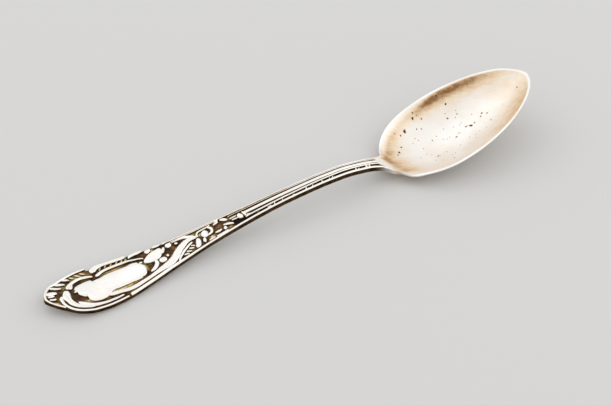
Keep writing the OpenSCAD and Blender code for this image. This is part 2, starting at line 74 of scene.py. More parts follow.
def smooth_at(x: np.ndarray, table: Table) -> np.ndarray:
    """Read a smooth curve through the rows (place, value) of a table.

    Between two rows runs a cubic whose end slopes are the harmonic mean of the slopes of the
    neighbouring straight lines, or zero where these turn, so that it never overshoots.

    Args:
        x: Places to read.
        table: Rows of (place, value), with rising places.

    Returns:
        The value at each place; beyond the table it keeps the end values.
    """
    rows = np.asarray(table, float)
    places, values = rows[:, 0], rows[:, 1]
    lines = np.diff(values) / np.diff(places)
    before, after = lines[:-1], lines[1:]
    turns = before * after <= 0
    total = np.where(turns, 1.0, before + after)
    slopes = np.concatenate(
        [lines[:1], np.where(turns, 0.0, 2 * before * after / total), lines[-1:]]
    )
    i = np.clip(np.searchsorted(places, x) - 1, 0, len(places) - 2)
    span = places[i + 1] - places[i]
    u = np.clip((x - places[i]) / span, 0, 1)
    return (
        values[i] * (1 + 2 * u) * (1 - u) ** 2
        + values[i + 1] * u * u * (3 - 2 * u)
        + span * u * (1 - u) * (slopes[i] * (1 - u) - slopes[i + 1] * u)
    )


def smooth_path(table: Table, u: np.ndarray) -> np.ndarray:
    """Follow a smooth path through given points.

    Between two points runs the cubic whose slope at each is half the way between its neighbours.
    Beyond each end one more point is assumed, as far on as the last step.

    Args:
        table: Points of the path, with any number of numbers each.
        u: Places along it; a whole number is the point of that rank.

    Returns:
        One row for each place.
    """
    p = np.asarray(table, float)
    p = np.vstack([2 * p[0] - p[1], p, 2 * p[-1] - p[-2]])
    i = np.clip(np.floor(u).astype(int), 0, len(table) - 2)
    f = (u - i)[:, None]
    a, b, c, d = p[i], p[i + 1], p[i + 2], p[i + 3]
    return b + f / 2 * ((c - a) + f * ((2 * a - 5 * b + 4 * c - d) + f * (3 * b - a - 3 * c + d)))


def ease(low: float, high: float, x: np.ndarray) -> np.ndarray:
    """Rise from 0 at low to 1 at high along 3t^2 - 2t^3."""
    t = np.clip((x - low) / (high - low), 0, 1)
    return t * t * (3 - 2 * t)


def bell(x: np.ndarray, centre: float, reach: float) -> np.ndarray:
    """Bell curve exp(-t^2), with t the distance from the centre in units of the reach."""
    return np.exp(-(((x - centre) / reach) ** 2))


def at_least(x: np.ndarray, floor: float, soft: float) -> np.ndarray:
    """Keep x above a floor, with the corner rounded as soft * ln(e^(x/soft) + e^(floor/soft))."""
    return floor + soft * np.logaddexp((x - floor) / soft, 0.0)


@dataclass(frozen=True)
class SpoonLine:
    """Lengths and curves that the whole spoon shares.

    Shares along the handle are fractions of its length, and each table holds rows of such a
    share and a value. The half width is the stem's, opened by the taper towards the broad end
    and by the flare towards the neck, and closed round the tip by the power curve
    (1 - (1 - u/end_share)^end_bend)^end_round, but no narrower than end_flat. The arch is the
    height of the underside as a share of arch_h, the lean the side of the middle line as a share
    of half of blade_w, and the belly the share of the thickness that the underside is rounded by.
    """

    handle_l: float = 0.142
    bowl_l: float = 0.068
    blade_w: float = 0.0222
    stem_w: float = 0.0061
    neck_w: float = 0.0114
    blade_t: float = 0.0016
    stem_t: float = 0.0022
    neck_t: float = 0.0024
    arch_h: float = 0.0076
    belly: float = 0.42
    blade_end: float = 0.56
    neck_start: float = 0.915
    end_share: float = 0.141
    end_bend: float = 2.5
    end_round: float = 0.75
    end_flat: float = 0.05
    taper: Table = (
        (0.141, 1), (0.197, 0.89), (0.254, 0.72), (0.324, 0.495), (0.408, 0.3),
        (0.493, 0.17), (0.592, 0.06), (0.7, 0.01), (0.83, 0), (1, 0),
    )
    flare: Table = ((0.85, 0), (0.93, 0.02), (0.972, 0.2), (1, 1))
    arch: Table = (
        (0, 0.4), (0.035, 0.24), (0.07, 0.12), (0.141, 0), (0.19, 0), (0.246, 0.06),
        (0.352, 0.25), (0.458, 0.5), (0.563, 0.71), (0.68, 0.91), (0.8, 1), (0.85, 0.985),
        (0.93, 0.78), (0.972, 0.55), (1, 0.36),
    )
    lean: Table = (
        (0, 0.05), (0.02, 0.085), (0.035, 0.085), (0.05, 0.03), (0.066, 0.01), (0.09, 0),
        (0.12, 0.02), (0.14, 0.02), (0.165, 0), (0.96, 0), (0.98, -0.015), (1, -0.072),
    )
    thick: Table = ((0, 0), (0.3, 0.1), (0.6, 1), (1, 1))
    neck_thick: Table = ((0, 0), (0.9, 0), (1, 1))

    def x_of(self, s: np.ndarray) -> np.ndarray:
        """Turn a distance from the handle's tip into the frame's X."""
        return s - (self.handle_l + self.bowl_l) / 2

    def half_width(self, s: np.ndarray) -> np.ndarray:
        """Half width of the handle.

        Args:
            s: Distances from its tip.

        Returns:
            The half width at each of them.
        """
        u = s / self.handle_l
        tip = np.clip(1 - np.clip(u, 0, None) / self.end_share, 0, 1)
        closing = np.maximum(self.end_flat, (1 - tip**self.end_bend) ** self.end_round)
        opened = (self.blade_w - self.stem_w) * smooth_at(u, self.taper)
        flared = (self.neck_w - self.stem_w) * smooth_at(u, self.flare)
        return (self.stem_w + opened + flared) / 2 * closing

    def middle(self, s: np.ndarray) -> np.ndarray:
        """Side of the handle's middle line, which leans a little at the broad end."""
        return smooth_at(s / self.handle_l, self.lean) * self.blade_w / 2

    def under(self, s: np.ndarray) -> np.ndarray:
        """Height of the underside over the table."""
        return self.arch_h * smooth_at(s / self.handle_l, self.arch)

    def thickness(self, s: np.ndarray) -> np.ndarray:
        """Thickness under the ornament and the reeds.

        Args:
            s: Distances from the handle's tip.

        Returns:
            The thickness at each of them.
        """
        u = s / self.handle_l
        stem = (self.stem_t - self.blade_t) * smooth_at(u, self.thick)
        return self.blade_t + stem + (self.neck_t - self.stem_t) * smooth_at(u, self.neck_thick)

    def ground(self, s: np.ndarray) -> np.ndarray:
        """Height of the ground that carries the ornament."""
        return self.under(s) + self.thickness(s)


LINE = SpoonLine()


# ---------------------------------------------------------------- meshes


@dataclass
class Shell:
    """A closed skin: rings of points along a piece, and what each point says of its finish.

    Attributes:
        rings: Array of (ring, point, axis), the points of each ring in order round the piece.
        wear: Array of (ring, point), 0 in a dark recess and 1 on a rubbed high point.
        tarnish: Array of (ring, point), 0 where the silver is clean and 1 where it is brown; in the
            bowl's band the brown is partly a painted dark reflection and shade.
        first_pole: Point that closes the first ring, or None for its middle.
        last_pole: Point that closes the last ring, or None for its middle.
    """

    rings: np.ndarray
    wear: np.ndarray
    tarnish: np.ndarray | None = None
    first_pole: np.ndarray | None = None
    last_pole: np.ndarray | None = None

    def points(self) -> np.ndarray:
        """All points, the two poles last.

        Returns:
            One row for each point.
        """
        first = self.rings[0].mean(0) if self.first_pole is None else self.first_pole
        last = self.rings[-1].mean(0) if self.last_pole is None else self.last_pole
        return np.vstack([self.rings.reshape(-1, 3), first, last])

    def value(self, values: np.ndarray | None) -> np.ndarray:
        """Spread the rings' values to all points, the poles taking the mean of their rings.

        Args:
            values: A value for each point of each ring, or None for zero.

        Returns:
            A value for each of the points.
        """
        if values is None:
            return np.zeros(self.rings.shape[0] * self.rings.shape[1] + 2)
        return np.concatenate([values.ravel(), [values[0].mean(), values[-1].mean()]])

    def faces(self) -> tuple[np.ndarray, np.ndarray]:
        """Quads between the rings and triangles at the poles, turned to face outwards.

        Returns:
            The quads and the triangles, as rows of point numbers.
        """
        rings, n = self.rings.shape[:2]
        j = np.arange(n)
        after = (j + 1) % n
        step = (np.arange(rings - 1) * n)[:, None]
        quads = np.stack(
            [step + j, step + after, step + n + after, step + n + j], axis=-1
        ).reshape(-1, 4)
        end = (rings - 1) * n
        first = np.stack([np.full(n, rings * n), after, j], axis=-1)
        last = np.stack([np.full(n, rings * n + 1), end + j, end + after], axis=-1)
        triangles = np.vstack([first, last])
        p = self.points()
        corners = np.vstack([quads[:, [0, 1, 2]], quads[:, [0, 2, 3]], triangles])
        a, b, c = p[corners[:, 0]], p[corners[:, 1]], p[corners[:, 2]]
        if np.einsum("ij,ij->", a, np.cross(b, c)) < 0:
            return quads[:, ::-1], triangles[:, ::-1]
        return quads, triangles


def put(name: str, data: bpy.types.ID) -> bpy.types.Object:
    """Make an object and link it to the scene.

    Args:
        name: Name of the object.
        data: Its mesh, lamp or camera.

    Returns:
        The object, at the origin.
    """
    thing = bpy.data.objects.new(name, data)
    bpy.context.scene.collection.objects.link(thing)
    return thing


def build_piece(name: str, shells: list[Shell]) -> bpy.types.Object:
    """Make one object from closed skins, smooth-shaded, with its finish as attributes.

    Args:
        name: Name of the object.
        shells: The skins, which may overlap.

    Returns:
        The object, at the origin and linked to the scene.
    """
    points, wears, tarnishes, quads, triangles = [], [], [], [], []
    offset = 0
    for shell in shells:
        four, three = shell.faces()
        points.append(shell.points())
        wears.append(shell.value(shell.wear))
        tarnishes.append(shell.value(shell.tarnish))
        quads.append(four + offset)
        triangles.append(three + offset)
        offset += len(points[-1])
    co, four, three = np.vstack(points), np.vstack(quads), np.vstack(triangles)
    mesh = bpy.data.meshes.new(name)
    mesh.vertices.add(len(co))
    mesh.vertices.foreach_set("co", co.astype(np.float32).ravel())
    loops = np.concatenate([four.ravel(), three.ravel()]).astype(np.int32)
    mesh.loops.add(len(loops))
    mesh.loops.foreach_set("vertex_index", loops)
    sizes = np.concatenate([np.full(len(four), 4), np.full(len(three), 3)])
    mesh.polygons.add(len(sizes))
    starts = np.concatenate([[0], np.cumsum(sizes)[:-1]]).astype(np.int32)
    mesh.polygons.foreach_set("loop_start", starts)
    mesh.polygons.foreach_set("use_smooth", np.ones(len(sizes), bool))
    mesh.update(calc_edges=True)
    for label, values in (("wear", wears), ("tarnish", tarnishes)):
        layer = mesh.attributes.new(label, "FLOAT", "POINT")
        layer.data.foreach_set("value", np.concatenate(values).astype(np.float32))
    return put(name, mesh)


# ---------------------------------------------------------------- finishes


def set_stops(ramp: bpy.types.ColorRamp, stops: tuple) -> None:
    """Give a colour ramp its stops.

    Args:
        ramp: The ramp.
        stops: Rows of a rising place and the colour or grey there.
    """
    while len(ramp.elements) < len(stops):
        ramp.elements.new(0.5)
    for element, (place, colour) in zip(ramp.elements, stops):
        element.position = place
        element.color = (*colour, 1) if isinstance(colour, tuple) else (colour, colour, colour, 1)


@dataclass(frozen=True)
class Grain:
    """A pattern of noise on a surface.

    Attributes:
        size: Size of a grain.
        swing: How far its value goes, where it swings about zero.
        detail: How many finer octaves are added.
        shift: How far the pattern is moved, to make it another one.
        stretch: Shares of the size along the three axes.
        turn: Turn of the pattern about Z, in radians.
    """

    size: float
    swing: float = 1.0
    detail: float = 3.0
    shift: float = 0.0
    stretch: tuple[float, float, float] = (1.0, 1.0, 1.0)
    turn: float = 0.0


class Shader:
    """Builds the node tree of one material, a socket at a time.

    Attributes:
        material: The material.
        tree: Its node tree.
        surface: Its Principled shader.
        place: Socket of the place on the piece, in metres.
    """

    def __init__(self, name: str) -> None:
        """Start a material with one Principled shader.

        Args:
            name: Name of the material.
        """
        self.material = bpy.data.materials.new(name)
        self.material.use_nodes = True
        self.tree = self.material.node_tree
        self.surface = self.tree.nodes["Principled BSDF"]
        self.place = self.node("TexCoord").outputs["Object"]

    def fill(self, socket: Socket, value: Input) -> None:
        """Link a socket to another, or set its number, vector or colour.

        Args:
            socket: The socket to fill.
            value: What it gets.
        """
        if isinstance(value, Socket):
            self.tree.links.new(value, socket)
        elif isinstance(value, tuple):
            socket.default_value = (*value, 1.0) if len(socket.default_value) == 4 else value
        else:
            socket.default_value = value

    def node(
        self, kind: str, inputs: dict[str | int, Input] | None = None, **settings: object
    ) -> bpy.types.Node:
        """Add a node.

        Args:
            kind: Its type, without the word that all shader nodes begin with.
            inputs: What its inputs get, by name or number.
            settings: Its own properties.

        Returns:
            The node.
        """
        node = self.tree.nodes.new("ShaderNode" + kind)
        for label, value in settings.items():
            setattr(node, label, value)
        for label, value in (inputs or {}).items():
            self.fill(node.inputs[label], value)
        return node

    def attribute(self, name: str) -> Socket:
        """Read a number that the mesh keeps for each point."""
        return self.node("Attribute", attribute_name=name).outputs["Fac"]

    def maths(self, kind: str, a: Input, b: Input, clamp: bool = False) -> Socket:
        """Join two numbers by the given operation."""
        return self.node("Math", {0: a, 1: b}, operation=kind, use_clamp=clamp).outputs[0]

    def add(self, a: Input, b: Input) -> Socket:
        """Add two numbers."""
        return self.maths("ADD", a, b)

    def times(self, a: Input, b: Input) -> Socket:
        """Multiply two numbers."""
        return self.maths("MULTIPLY", a, b)

    def mix(self, factor: Input, a: Input, b: Input) -> Socket:
        """Mix two colours."""
        inputs = {"Factor": factor, "A": a, "B": b}
        return self.node("Mix", inputs, data_type="RGBA").outputs["Result"]

    def noise(self, grain: Grain) -> Socket:
        """Noise between about 0.25 and 0.75.

        Args:
            grain: Its pattern, whose swing isn't read here.

        Returns:
            The noise's value.
        """
        turned = self.node("Mapping", {"Rotation": (0, 0, grain.turn), "Vector": self.place})
        scaled = self.node("Mapping", {
            "Location": (grain.shift, grain.shift, grain.shift),
            "Scale": tuple(1 / (grain.size * share) for share in grain.stretch),
            "Vector": turned.outputs[0],
        })
        inputs = {"Scale": 1.0, "Detail": grain.detail, "Vector": scaled.outputs[0]}
        return self.node("TexNoise", inputs).outputs[0]

    def swing(self, grain: Grain) -> Socket:
        """Noise that swings about zero."""
        return self.times(self.maths("SUBTRACT", self.noise(grain), 0.5), grain.swing)

    def ramp(self, value: Input, stops: tuple) -> Socket:
        """Colour ramp, which is eased where it has only two stops.

        Args:
            value: What it reads.
            stops: Rows of a rising place and the colour or grey there.

        Returns:
            The colour.
        """
        node = self.node("ValToRGB", {0: value})
        node.color_ramp.interpolation = "EASE" if len(stops) == 2 else "LINEAR"
        set_stops(node.color_ramp, stops)
        return node.outputs[0]

    def bump(self, height: Socket, depth: float, below: Socket | None = None) -> Socket:
        """Relief in the shading.

        Args:
            height: Its height, from 0 to 1.
            depth: What a height of 1 is in metres.
            below: Another relief that it lies on.

        Returns:
            The relief.
        """
        node = self.node("Bump", {"Strength": 1.0, "Distance": depth, "Height": height})
        if below is not None:
            self.fill(node.inputs["Normal"], below)
        return node.outputs[0]

    def scratches(self, width: float, turns: tuple[float, ...]) -> Socket:
        """Fine crossing scratches: long thin grains of noise, raised to a sharp line.

        Args:
            width: Width of a scratch.
            turns: Directions of the scratches, in radians about Z.

        Returns:
            0 on the plain surface, up to 1 in a scratch.
        """
        long_thin, apart = (90.0, 1.0, 90.0), 5.0
        total: Input = 0.0
        for rank, turn in enumerate(turns):
            grain = Grain(width, 1.0, 1.0, apart * (rank + 1), long_thin, turn)
            line = self.ramp(self.noise(grain), ((0.66, 0.0), (0.76, 1.0)))
            total = self.maths("MAXIMUM", total, line)
        return total

    def finish(
        self, colour: Input, rough: Input, relief: Socket, metal: float = 1.0
    ) -> bpy.types.Material:
        """Give the surface its looks.

        Args:
            colour: Its colour.
            rough: Its roughness.
            relief: Its relief.
            metal: How metallic it is.

        Returns:
            The finished material.
        """
        looks = {"Metallic": metal, "Base Color": colour, "Roughness": rough, "Normal": relief}
        for label, value in looks.items():
            self.fill(self.surface.inputs[label], value)
        return self.material


@dataclass(frozen=True)
class WornSilver:
    """Silver plate on struck relief: rubbed bright on top, brown to black in the recesses.

    Attributes:
        name: Name of the material.
        bright: Colour of the rubbed high points.
        cream: Colour just under them.
        golden: Colour of the thin tarnish on the slopes.
        olive: Colour of the same in greener regions.
        umber: Colour of the thick tarnish at the foot, and, with deep, of the painted dark
            reflection on the handle's sides.
        deep: Colour of the recesses.
        satin: Colour of the plain neck, which is as dull as the bowl.
        patches: Pattern in which the tarnish lies unevenly.
        grain: Fine grain in it.
        regions: Pattern of the golden and the greener regions.
        smears: Pattern of more and less polish.
        hammered: Pattern of the surface's soft unevenness.
        hammer_depth: Depth of that.
        scratch_w: Width of a scratch.
        scratch_turns: Directions of the scratches.
        scratch_depth: Depth of a scratch.
        shine: Rows of wear and roughness.
        satin_rough: How much rougher the plain neck is.
    """

    name: str
    bright: Colour = (0.95, 0.925, 0.885)
    cream: Colour = (0.84, 0.76, 0.60)
    golden: Colour = (0.58, 0.32, 0.1)
    olive: Colour = (0.36, 0.30, 0.10)
    umber: Colour = (0.13, 0.068, 0.028)
    deep: Colour = (0.012, 0.0075, 0.0045)
    satin: Colour = (0.92, 0.88, 0.83)
    patches: Grain = Grain(0.0022, 0.34, 4.0)
    grain: Grain = Grain(0.0003, 0.34, 3.0, 3.0)
    regions: Grain = Grain(0.005, detail=2.0, shift=11.0)
    smears: Grain = Grain(0.006, 0.16, 4.0, 9.0, (3.0, 1.0, 1.0), 0.1)
    hammered: Grain = Grain(0.0009, detail=5.0, shift=2.0)
    hammer_depth: float = 0.00004
    scratch_w: float = 0.00006
    scratch_turns: tuple[float, ...] = (0.2, 1.1, -0.7)
    scratch_depth: float = 0.000006
    shine: Table = ((0.0, 0.62), (0.4, 0.42), (0.75, 0.26))
    satin_rough: float = 0.18

    def tint(self, level: Socket, slope: Colour, shader: Shader) -> Socket:
        """Colour at a level of wear, with the given colour on the slopes."""
        colours = (self.deep, self.umber, slope, self.cream, self.bright)
        return shader.ramp(level, tuple(zip((0.0, 0.14, 0.3, 0.46, 0.66), colours)))

    def make(self) -> bpy.types.Material:
        """Build the material.

        Returns:
            The material.
        """
        shader = Shader(self.name)
        plain = shader.attribute("tarnish")
        uneven = shader.add(shader.swing(self.patches), shader.swing(self.grain))
        level = shader.maths("ADD", shader.attribute("wear"), uneven, clamp=True)
        golden, green = (self.tint(level, slope, shader) for slope in (self.golden, self.olive))
        region = shader.ramp(shader.noise(self.regions), ((0.44, 0.0), (0.58, 1.0)))
        colour = shader.mix(plain, shader.mix(region, golden, green), self.satin)
        rough = shader.add(shader.ramp(level, self.shine), shader.swing(self.smears))
        rough = shader.add(rough, shader.times(plain, self.satin_rough))
        relief = shader.bump(shader.noise(self.hammered), self.hammer_depth)
        scratches = shader.scratches(self.scratch_w, self.scratch_turns)
        return shader.finish(colour, rough, shader.bump(scratches, -self.scratch_depth, relief))


@dataclass(frozen=True)
class BowlSilver:
    """Satin silver of the bowl: warm white, finely scratched, browned where tarnish lies and where
    the band under the rim paints a dark reflection and shade.

    Attributes:
        name: Name of the material.
        bright: Colour of the rubbed rim.
        satin: Colour of the clean silver.
        tan: Colour of thin tarnish, and of the band's painted reflection where it is faint.
        brown: Colour of thick tarnish, and of the band's painted dark reflection where it is strong.
        streaks: Pattern that draws the tarnish out into streaks.
        mottle: Finer pattern in them.
        speckle: Finest pattern in them.
        clouds: Pattern of the faint tan clouds on the clean silver.
        cloudy: How strong the clouds are.
        pricks: Pattern of the pinpricks.
        prickly: How dark the pinpricks are.
        smears: Pattern of more and less polish.
        dents: Pattern of the soft dents.
        dent_depth: Depth of the dents.
        scratch_w: Width of a scratch.
        scratch_turns: Directions of the scratches.
        scratch_depth: Depth of a scratch.
        rough: Roughness of the clean silver.
        tarnish_rough: How much rougher the tarnish is.
        rim_shine: How much smoother the rim is.
    """

    name: str
    bright: Colour = (0.97, 0.96, 0.93)
    satin: Colour = (0.93, 0.905, 0.87)
    tan: Colour = (0.79, 0.61, 0.41)
    brown: Colour = (0.31, 0.158, 0.06)
    streaks: Grain = Grain(0.0035, 0.9, 5.0, 1.0, (4.0, 1.0, 1.0), 0.35)
    mottle: Grain = Grain(0.0012, 0.85, 5.0, 4.0, (2.0, 1.0, 1.0), 0.35)
    speckle: Grain = Grain(0.0004, 0.3, 2.0, 12.0)
    clouds: Grain = Grain(0.012, detail=5.0, shift=7.0)
    cloudy: float = 0.25
    pricks: Grain = Grain(0.00042, detail=1.0, shift=6.0)
    prickly: float = 0.45
    smears: Grain = Grain(0.004, 0.2, 5.0, 8.0)
    dents: Grain = Grain(0.007, detail=2.0, shift=2.0)
    dent_depth: float = 0.00006
    scratch_w: float = 0.00007
    scratch_turns: tuple[float, ...] = (0.15, -0.5, 1.3, 2.2)
    scratch_depth: float = 0.000005
    rough: float = 0.44
    tarnish_rough: float = 0.16
    rim_shine: float = 0.1

    def make(self) -> bpy.types.Material:
        """Build the material.

        Returns:
            The material.
        """
        shader = Shader(self.name)
        rubbed = shader.attribute("wear")
        uneven = shader.add(shader.swing(self.streaks), shader.swing(self.mottle))
        uneven = shader.add(shader.add(1.0, shader.swing(self.speckle)), uneven)
        # The tarnish attribute carries tarnish and, in the band under the rim, a painted dark
        # reflection and shade.
        level = shader.times(shader.attribute("tarnish"), uneven)
        clouds = shader.ramp(shader.noise(self.clouds), ((0.4, 0.0), (0.7, 1.0)))
        colour = shader.mix(rubbed, self.satin, self.bright)
        colour = shader.mix(shader.times(clouds, self.cloudy), colour, self.tan)
        colour = shader.mix(shader.ramp(level, ((0.0, 0.0), (0.5, 1.0))), colour, self.tan)
        colour = shader.mix(shader.ramp(level, ((0.35, 0.0), (1.0, 1.0))), colour, self.brown)
        pricks = shader.ramp(shader.noise(self.pricks), ((0.73, 0.0), (0.78, 1.0)))
        colour = shader.mix(shader.times(pricks, self.prickly), colour, self.brown)
        rough = shader.add(self.rough, shader.times(level, self.tarnish_rough))
        rough = shader.add(rough, shader.swing(self.smears))
        rough = shader.maths("SUBTRACT", rough, shader.times(rubbed, self.rim_shine))
        relief = shader.bump(shader.noise(self.dents), self.dent_depth)
        scratches = shader.scratches(self.scratch_w, self.scratch_turns)
        return shader.finish(colour, rough, shader.bump(scratches, -self.scratch_depth, relief))


@dataclass(frozen=True)
class PitCrust:
    """Dull dark crust of the pits in worn plate.

    Attributes:
        name: Name of the material.
        dark: Colour of the pit's middle.
        rust: Colour of the ring round it.
        tan: Colour of the stain round that.
        ragged: Pattern that makes the rings ragged.
        grit: Pattern of the crust's relief.
        grit_depth: Depth of that relief.
        rough: Roughness of the crust.
        metal: How metallic it is.
    """

    name: str
    dark: Colour = (0.03, 0.019, 0.012)
    rust: Colour = (0.25, 0.13, 0.05)
    tan: Colour = (0.70, 0.56, 0.40)
    ragged: Grain = Grain(0.0003, 0.6)
    grit: Grain = Grain(0.0002)
    grit_depth: float = 0.00003
    rough: float = 0.7
    metal: float = 0.6

    def make(self) -> bpy.types.Material:
        """Build the material.

        Returns:
            The material.
        """
        shader = Shader(self.name)
        wear = shader.attribute("wear")
        level = shader.maths("ADD", wear, shader.swing(self.ragged), clamp=True)
        colour = shader.ramp(level, ((0.3, self.dark), (0.5, self.rust), (0.8, self.tan)))
        relief = shader.bump(shader.noise(self.grit), self.grit_depth)
        return shader.finish(colour, self.rough, relief, self.metal)


# ---------------------------------------------------------------- bowl


def spaced(runs: Table) -> np.ndarray:
    """Evenly spaced numbers over rows of (first, last, how many)."""
    return np.concatenate([np.linspace(first, last, count) for first, last, count in runs])


@dataclass(frozen=True)
class Bowl:
    """The egg-shaped bowl, with its hollow, its rim and its back.

    Its outline is followed by an angle round the point under its widest place. Ahead of it the
    half width is (1 - u^bend)^round with u the way to the tip, and behind it likewise, blended
    by the cube root of a sum of cubes with the straight flare of the neck. The hollow is a dish
    of rings r, from 0 in the middle to 1 at the outline.

    The tarnish is a band under the rim, strongest on the far wall, where it also paints a dark
    reflection. Its strength, and the ring r that it is strongest at, are rows of (degrees, value),
    and so is a thin tinge all over the hollow. The degrees run from 0 at the tip to 180 at the
    heel, along the far side, and to -180 along the near side. The band falls off as a bell curve,
    with the reach band_out towards the rim and band_in towards the middle, where a share
    halo_shade_and_tarnish of it fades as e^(-distance/halo_in), a soft painted shade that spreads
    towards the middle. Each span gives the rings r between which something rises.
    """

    width: float = 0.0396
    depth: float = 0.0077
    rim_w: float = 0.0008
    rim_lip: float = 0.0006
    wall: float = 0.0011
    heel_z: float = 0.0041
    tip_z: float = 0.0197
    centre_share: float = 0.43
    tip_bend: float = 1.8
    tip_round: float = 0.63
    heel_bend: float = 2.2
    heel_round: float = 0.48
    heel_reach: float = 0.96
    flare_slope: float = 0.45
    tip_lean: float = 0.04
    tip_lean_bend: float = 4.0
    heel_lean_bend: float = 5.0
    tip_ring: float = 1.85
    heel_ring: float = 2.4
    ring_late: float = 5.0
    section_bend: float = 2.3
    neck_reach: float = 0.16
    neck_edge_share: float = 0.58
    rim_least: float = 0.05
    rise: Table = (
        (0.06, 0), (0.13, 0.1), (0.27, 0.27), (0.44, 0.48), (0.63, 0.71), (0.82, 0.925),
        (0.92, 1), (1, 1),
    )
    corner: float = 0.00022
    corner_most: float = 0.45
    crease: float = 0.0001
    floor_soft: float = 0.00012
    edge_soft: float = 0.00001
    back_soft: float = 0.00006
    side_points: int = 150
    mouth_points: int = 19
    hollow_runs: Table = ((0.02, 0.7, 26), (0.72, 1.0, 26))
    flat_run: Table = ((0.12, 1, 8),)
    corner_run: Table = ((0.2, 1, 5),)
    back_runs: Table = ((1, 0.94, 6), (0.91, 0.02, 34))
    # Strength of the band of tarnish and painted dark reflection, strongest on the far wall.
    tarnish_and_reflection_strength: Table = (
        (-180, 0.42), (-168, 0.28), (-155, 0.1), (-130, 0.0), (-80, 0.0), (-55, 0.08),
        (-35, 0.16), (-18, 0.14), (-6, 0.08), (4, 0.03), (12, 0.08), (20, 0.28), (32, 0.62),
        (48, 0.83), (66, 0.89), (78, 0.84), (88, 0.71), (98, 0.54), (108, 0.32), (118, 0.2),
        (132, 0.24), (146, 0.35), (158, 0.4), (167, 0.6), (174, 0.55), (180, 0.4),
    )
    tarnish_and_reflection_place: Table = (
        (-180, 0.84), (-160, 0.8), (-120, 0.9), (-60, 0.94), (0, 0.95), (25, 0.945), (50, 0.93),
        (72, 0.92), (86, 0.9), (100, 0.885), (115, 0.88), (140, 0.87), (160, 0.87),
        (170, 0.9), (180, 0.84),
    )
    band_out: float = 0.066
    band_in: float = 0.11
    halo_shade_and_tarnish: float = 0.36
    halo_in: float = 0.2
    tinge: Table = (
        (-180, 0.24), (-145, 0.17), (-90, 0.17), (-60, 0.22), (-38, 0.31), (-20, 0.31), (-6, 0.27),
        (8, 0.24), (25, 0.19), (60, 0.14), (90, 0.12), (130, 0.13), (160, 0.15), (180, 0.24),
    )
    tinge_span: Span = (0.2, 0.95)
    browning_fade: float = 0.02
    rubbed_span: Span = (0.992, 1.0)
    rim_tarnish: float = 0.1
    back_wear: float = 0.6
    back_tarnish: float = 0.25
    back_edge_tarnish: float = 0.3
    back_edge_span: Span = (0.8, 1.0)
    back_even: float = 0.5

    @property
    def widest(self) -> float:
        """Distance from the neck to the widest place."""
        return self.centre_share * LINE.bowl_l

    def ahead(self, x: np.ndarray) -> np.ndarray:
        """Share of the way from the widest place to the tip."""
        return np.clip((x - self.widest) / (LINE.bowl_l - self.widest), 0, 1)

    def behind(self, x: np.ndarray, reach: float = 1.0) -> np.ndarray:
        """Share of the way from the widest place back to the neck, or to a reach of that way."""
        return np.clip((self.widest - x) / (self.widest * reach), 0, 1)

    def half_width(self, x: np.ndarray) -> np.ndarray:
        """Half width of the outline.

        Args:
            x: Distances from the neck.

        Returns:
            The half width at each of them.
        """
        behind = self.behind(x, self.heel_reach)
        front = (1 - self.ahead(x) ** self.tip_bend) ** self.tip_round * self.width / 2
        heel = (1 - behind**self.heel_bend) ** self.heel_round * self.width / 2
        neck = np.clip(LINE.neck_w / 2 + self.flare_slope * x, 0, None)
        left = np.clip(1 - x / self.widest, 0, None)
        return np.where(x > self.widest, front, np.cbrt(left**2 * neck**3 + heel**3))

    def middle(self, x: np.ndarray) -> np.ndarray:
        """Side of the middle line: the worn tip leans out, and the heel comes back to the neck."""
        tip = self.tip_lean * self.width * self.ahead(x) ** self.tip_lean_bend
        return tip + LINE.middle(np.array(LINE.handle_l)) * self.behind(x) ** self.heel_lean_bend

    def rim_height(self, x: np.ndarray) -> np.ndarray:
        """Height of the rim over the table, from the ground of the neck up to the tip.

        Args:
            x: Distances from the neck.

        Returns:
            The height at each of them.
        """
        start = float(LINE.ground(np.array(LINE.handle_l)))
        rise = ((0.0, (start - self.heel_z) / (self.tip_z - self.heel_z)), *self.rise)
        return self.heel_z + (self.tip_z - self.heel_z) * smooth_at(x / LINE.bowl_l, rise)

    def outline(self) -> tuple[np.ndarray, np.ndarray, np.ndarray, np.ndarray]:
        """Points round the rim's outer edge, from the tip along the far side and back.

        Returns:
            Distance from the neck, side, width of the rim and height of its edge at each point.
        """
        angle = np.linspace(0, np.pi, self.side_points)
        reach = np.where(np.cos(angle) > 0, LINE.bowl_l - self.widest, self.widest)
        x = self.widest + reach * np.cos(angle)
        y = self.half_width(x)
        near = np.clip(1 - x / (self.neck_reach * LINE.bowl_l), 0, None) ** 2
        lip = self.rim_lip + (LINE.neck_t * self.neck_edge_share - self.rim_lip) * near
        inset = self.rim_w * np.maximum(self.rim_least, 1 - near)
        mouth = np.linspace(1, -1, self.mouth_points + 2)[1:-1]
        drop = LINE.neck_t * (1 - LINE.belly * (1 - np.sqrt(1 - np.abs(mouth) ** 3)))
        still = np.full(len(mouth), self.rim_w * self.rim_least)
        return (
            np.concatenate([x, np.zeros(len(mouth)), x[:0:-1]]),
            np.concatenate([
                self.middle(x) + y, self.middle(0 * mouth) + mouth * LINE.neck_w / 2,
                self.middle(x[:0:-1]) - y[:0:-1],
            ]),
            np.concatenate([inset, still, inset[:0:-1]]),
            np.concatenate([lip, drop, lip[:0:-1]]),
        )

    def bearing(self) -> np.ndarray:
        """Angle of each of the outline's points round the widest place, in degrees."""
        x, y, _, _ = self.outline()
        return np.degrees(np.arctan2(y, x - self.widest))

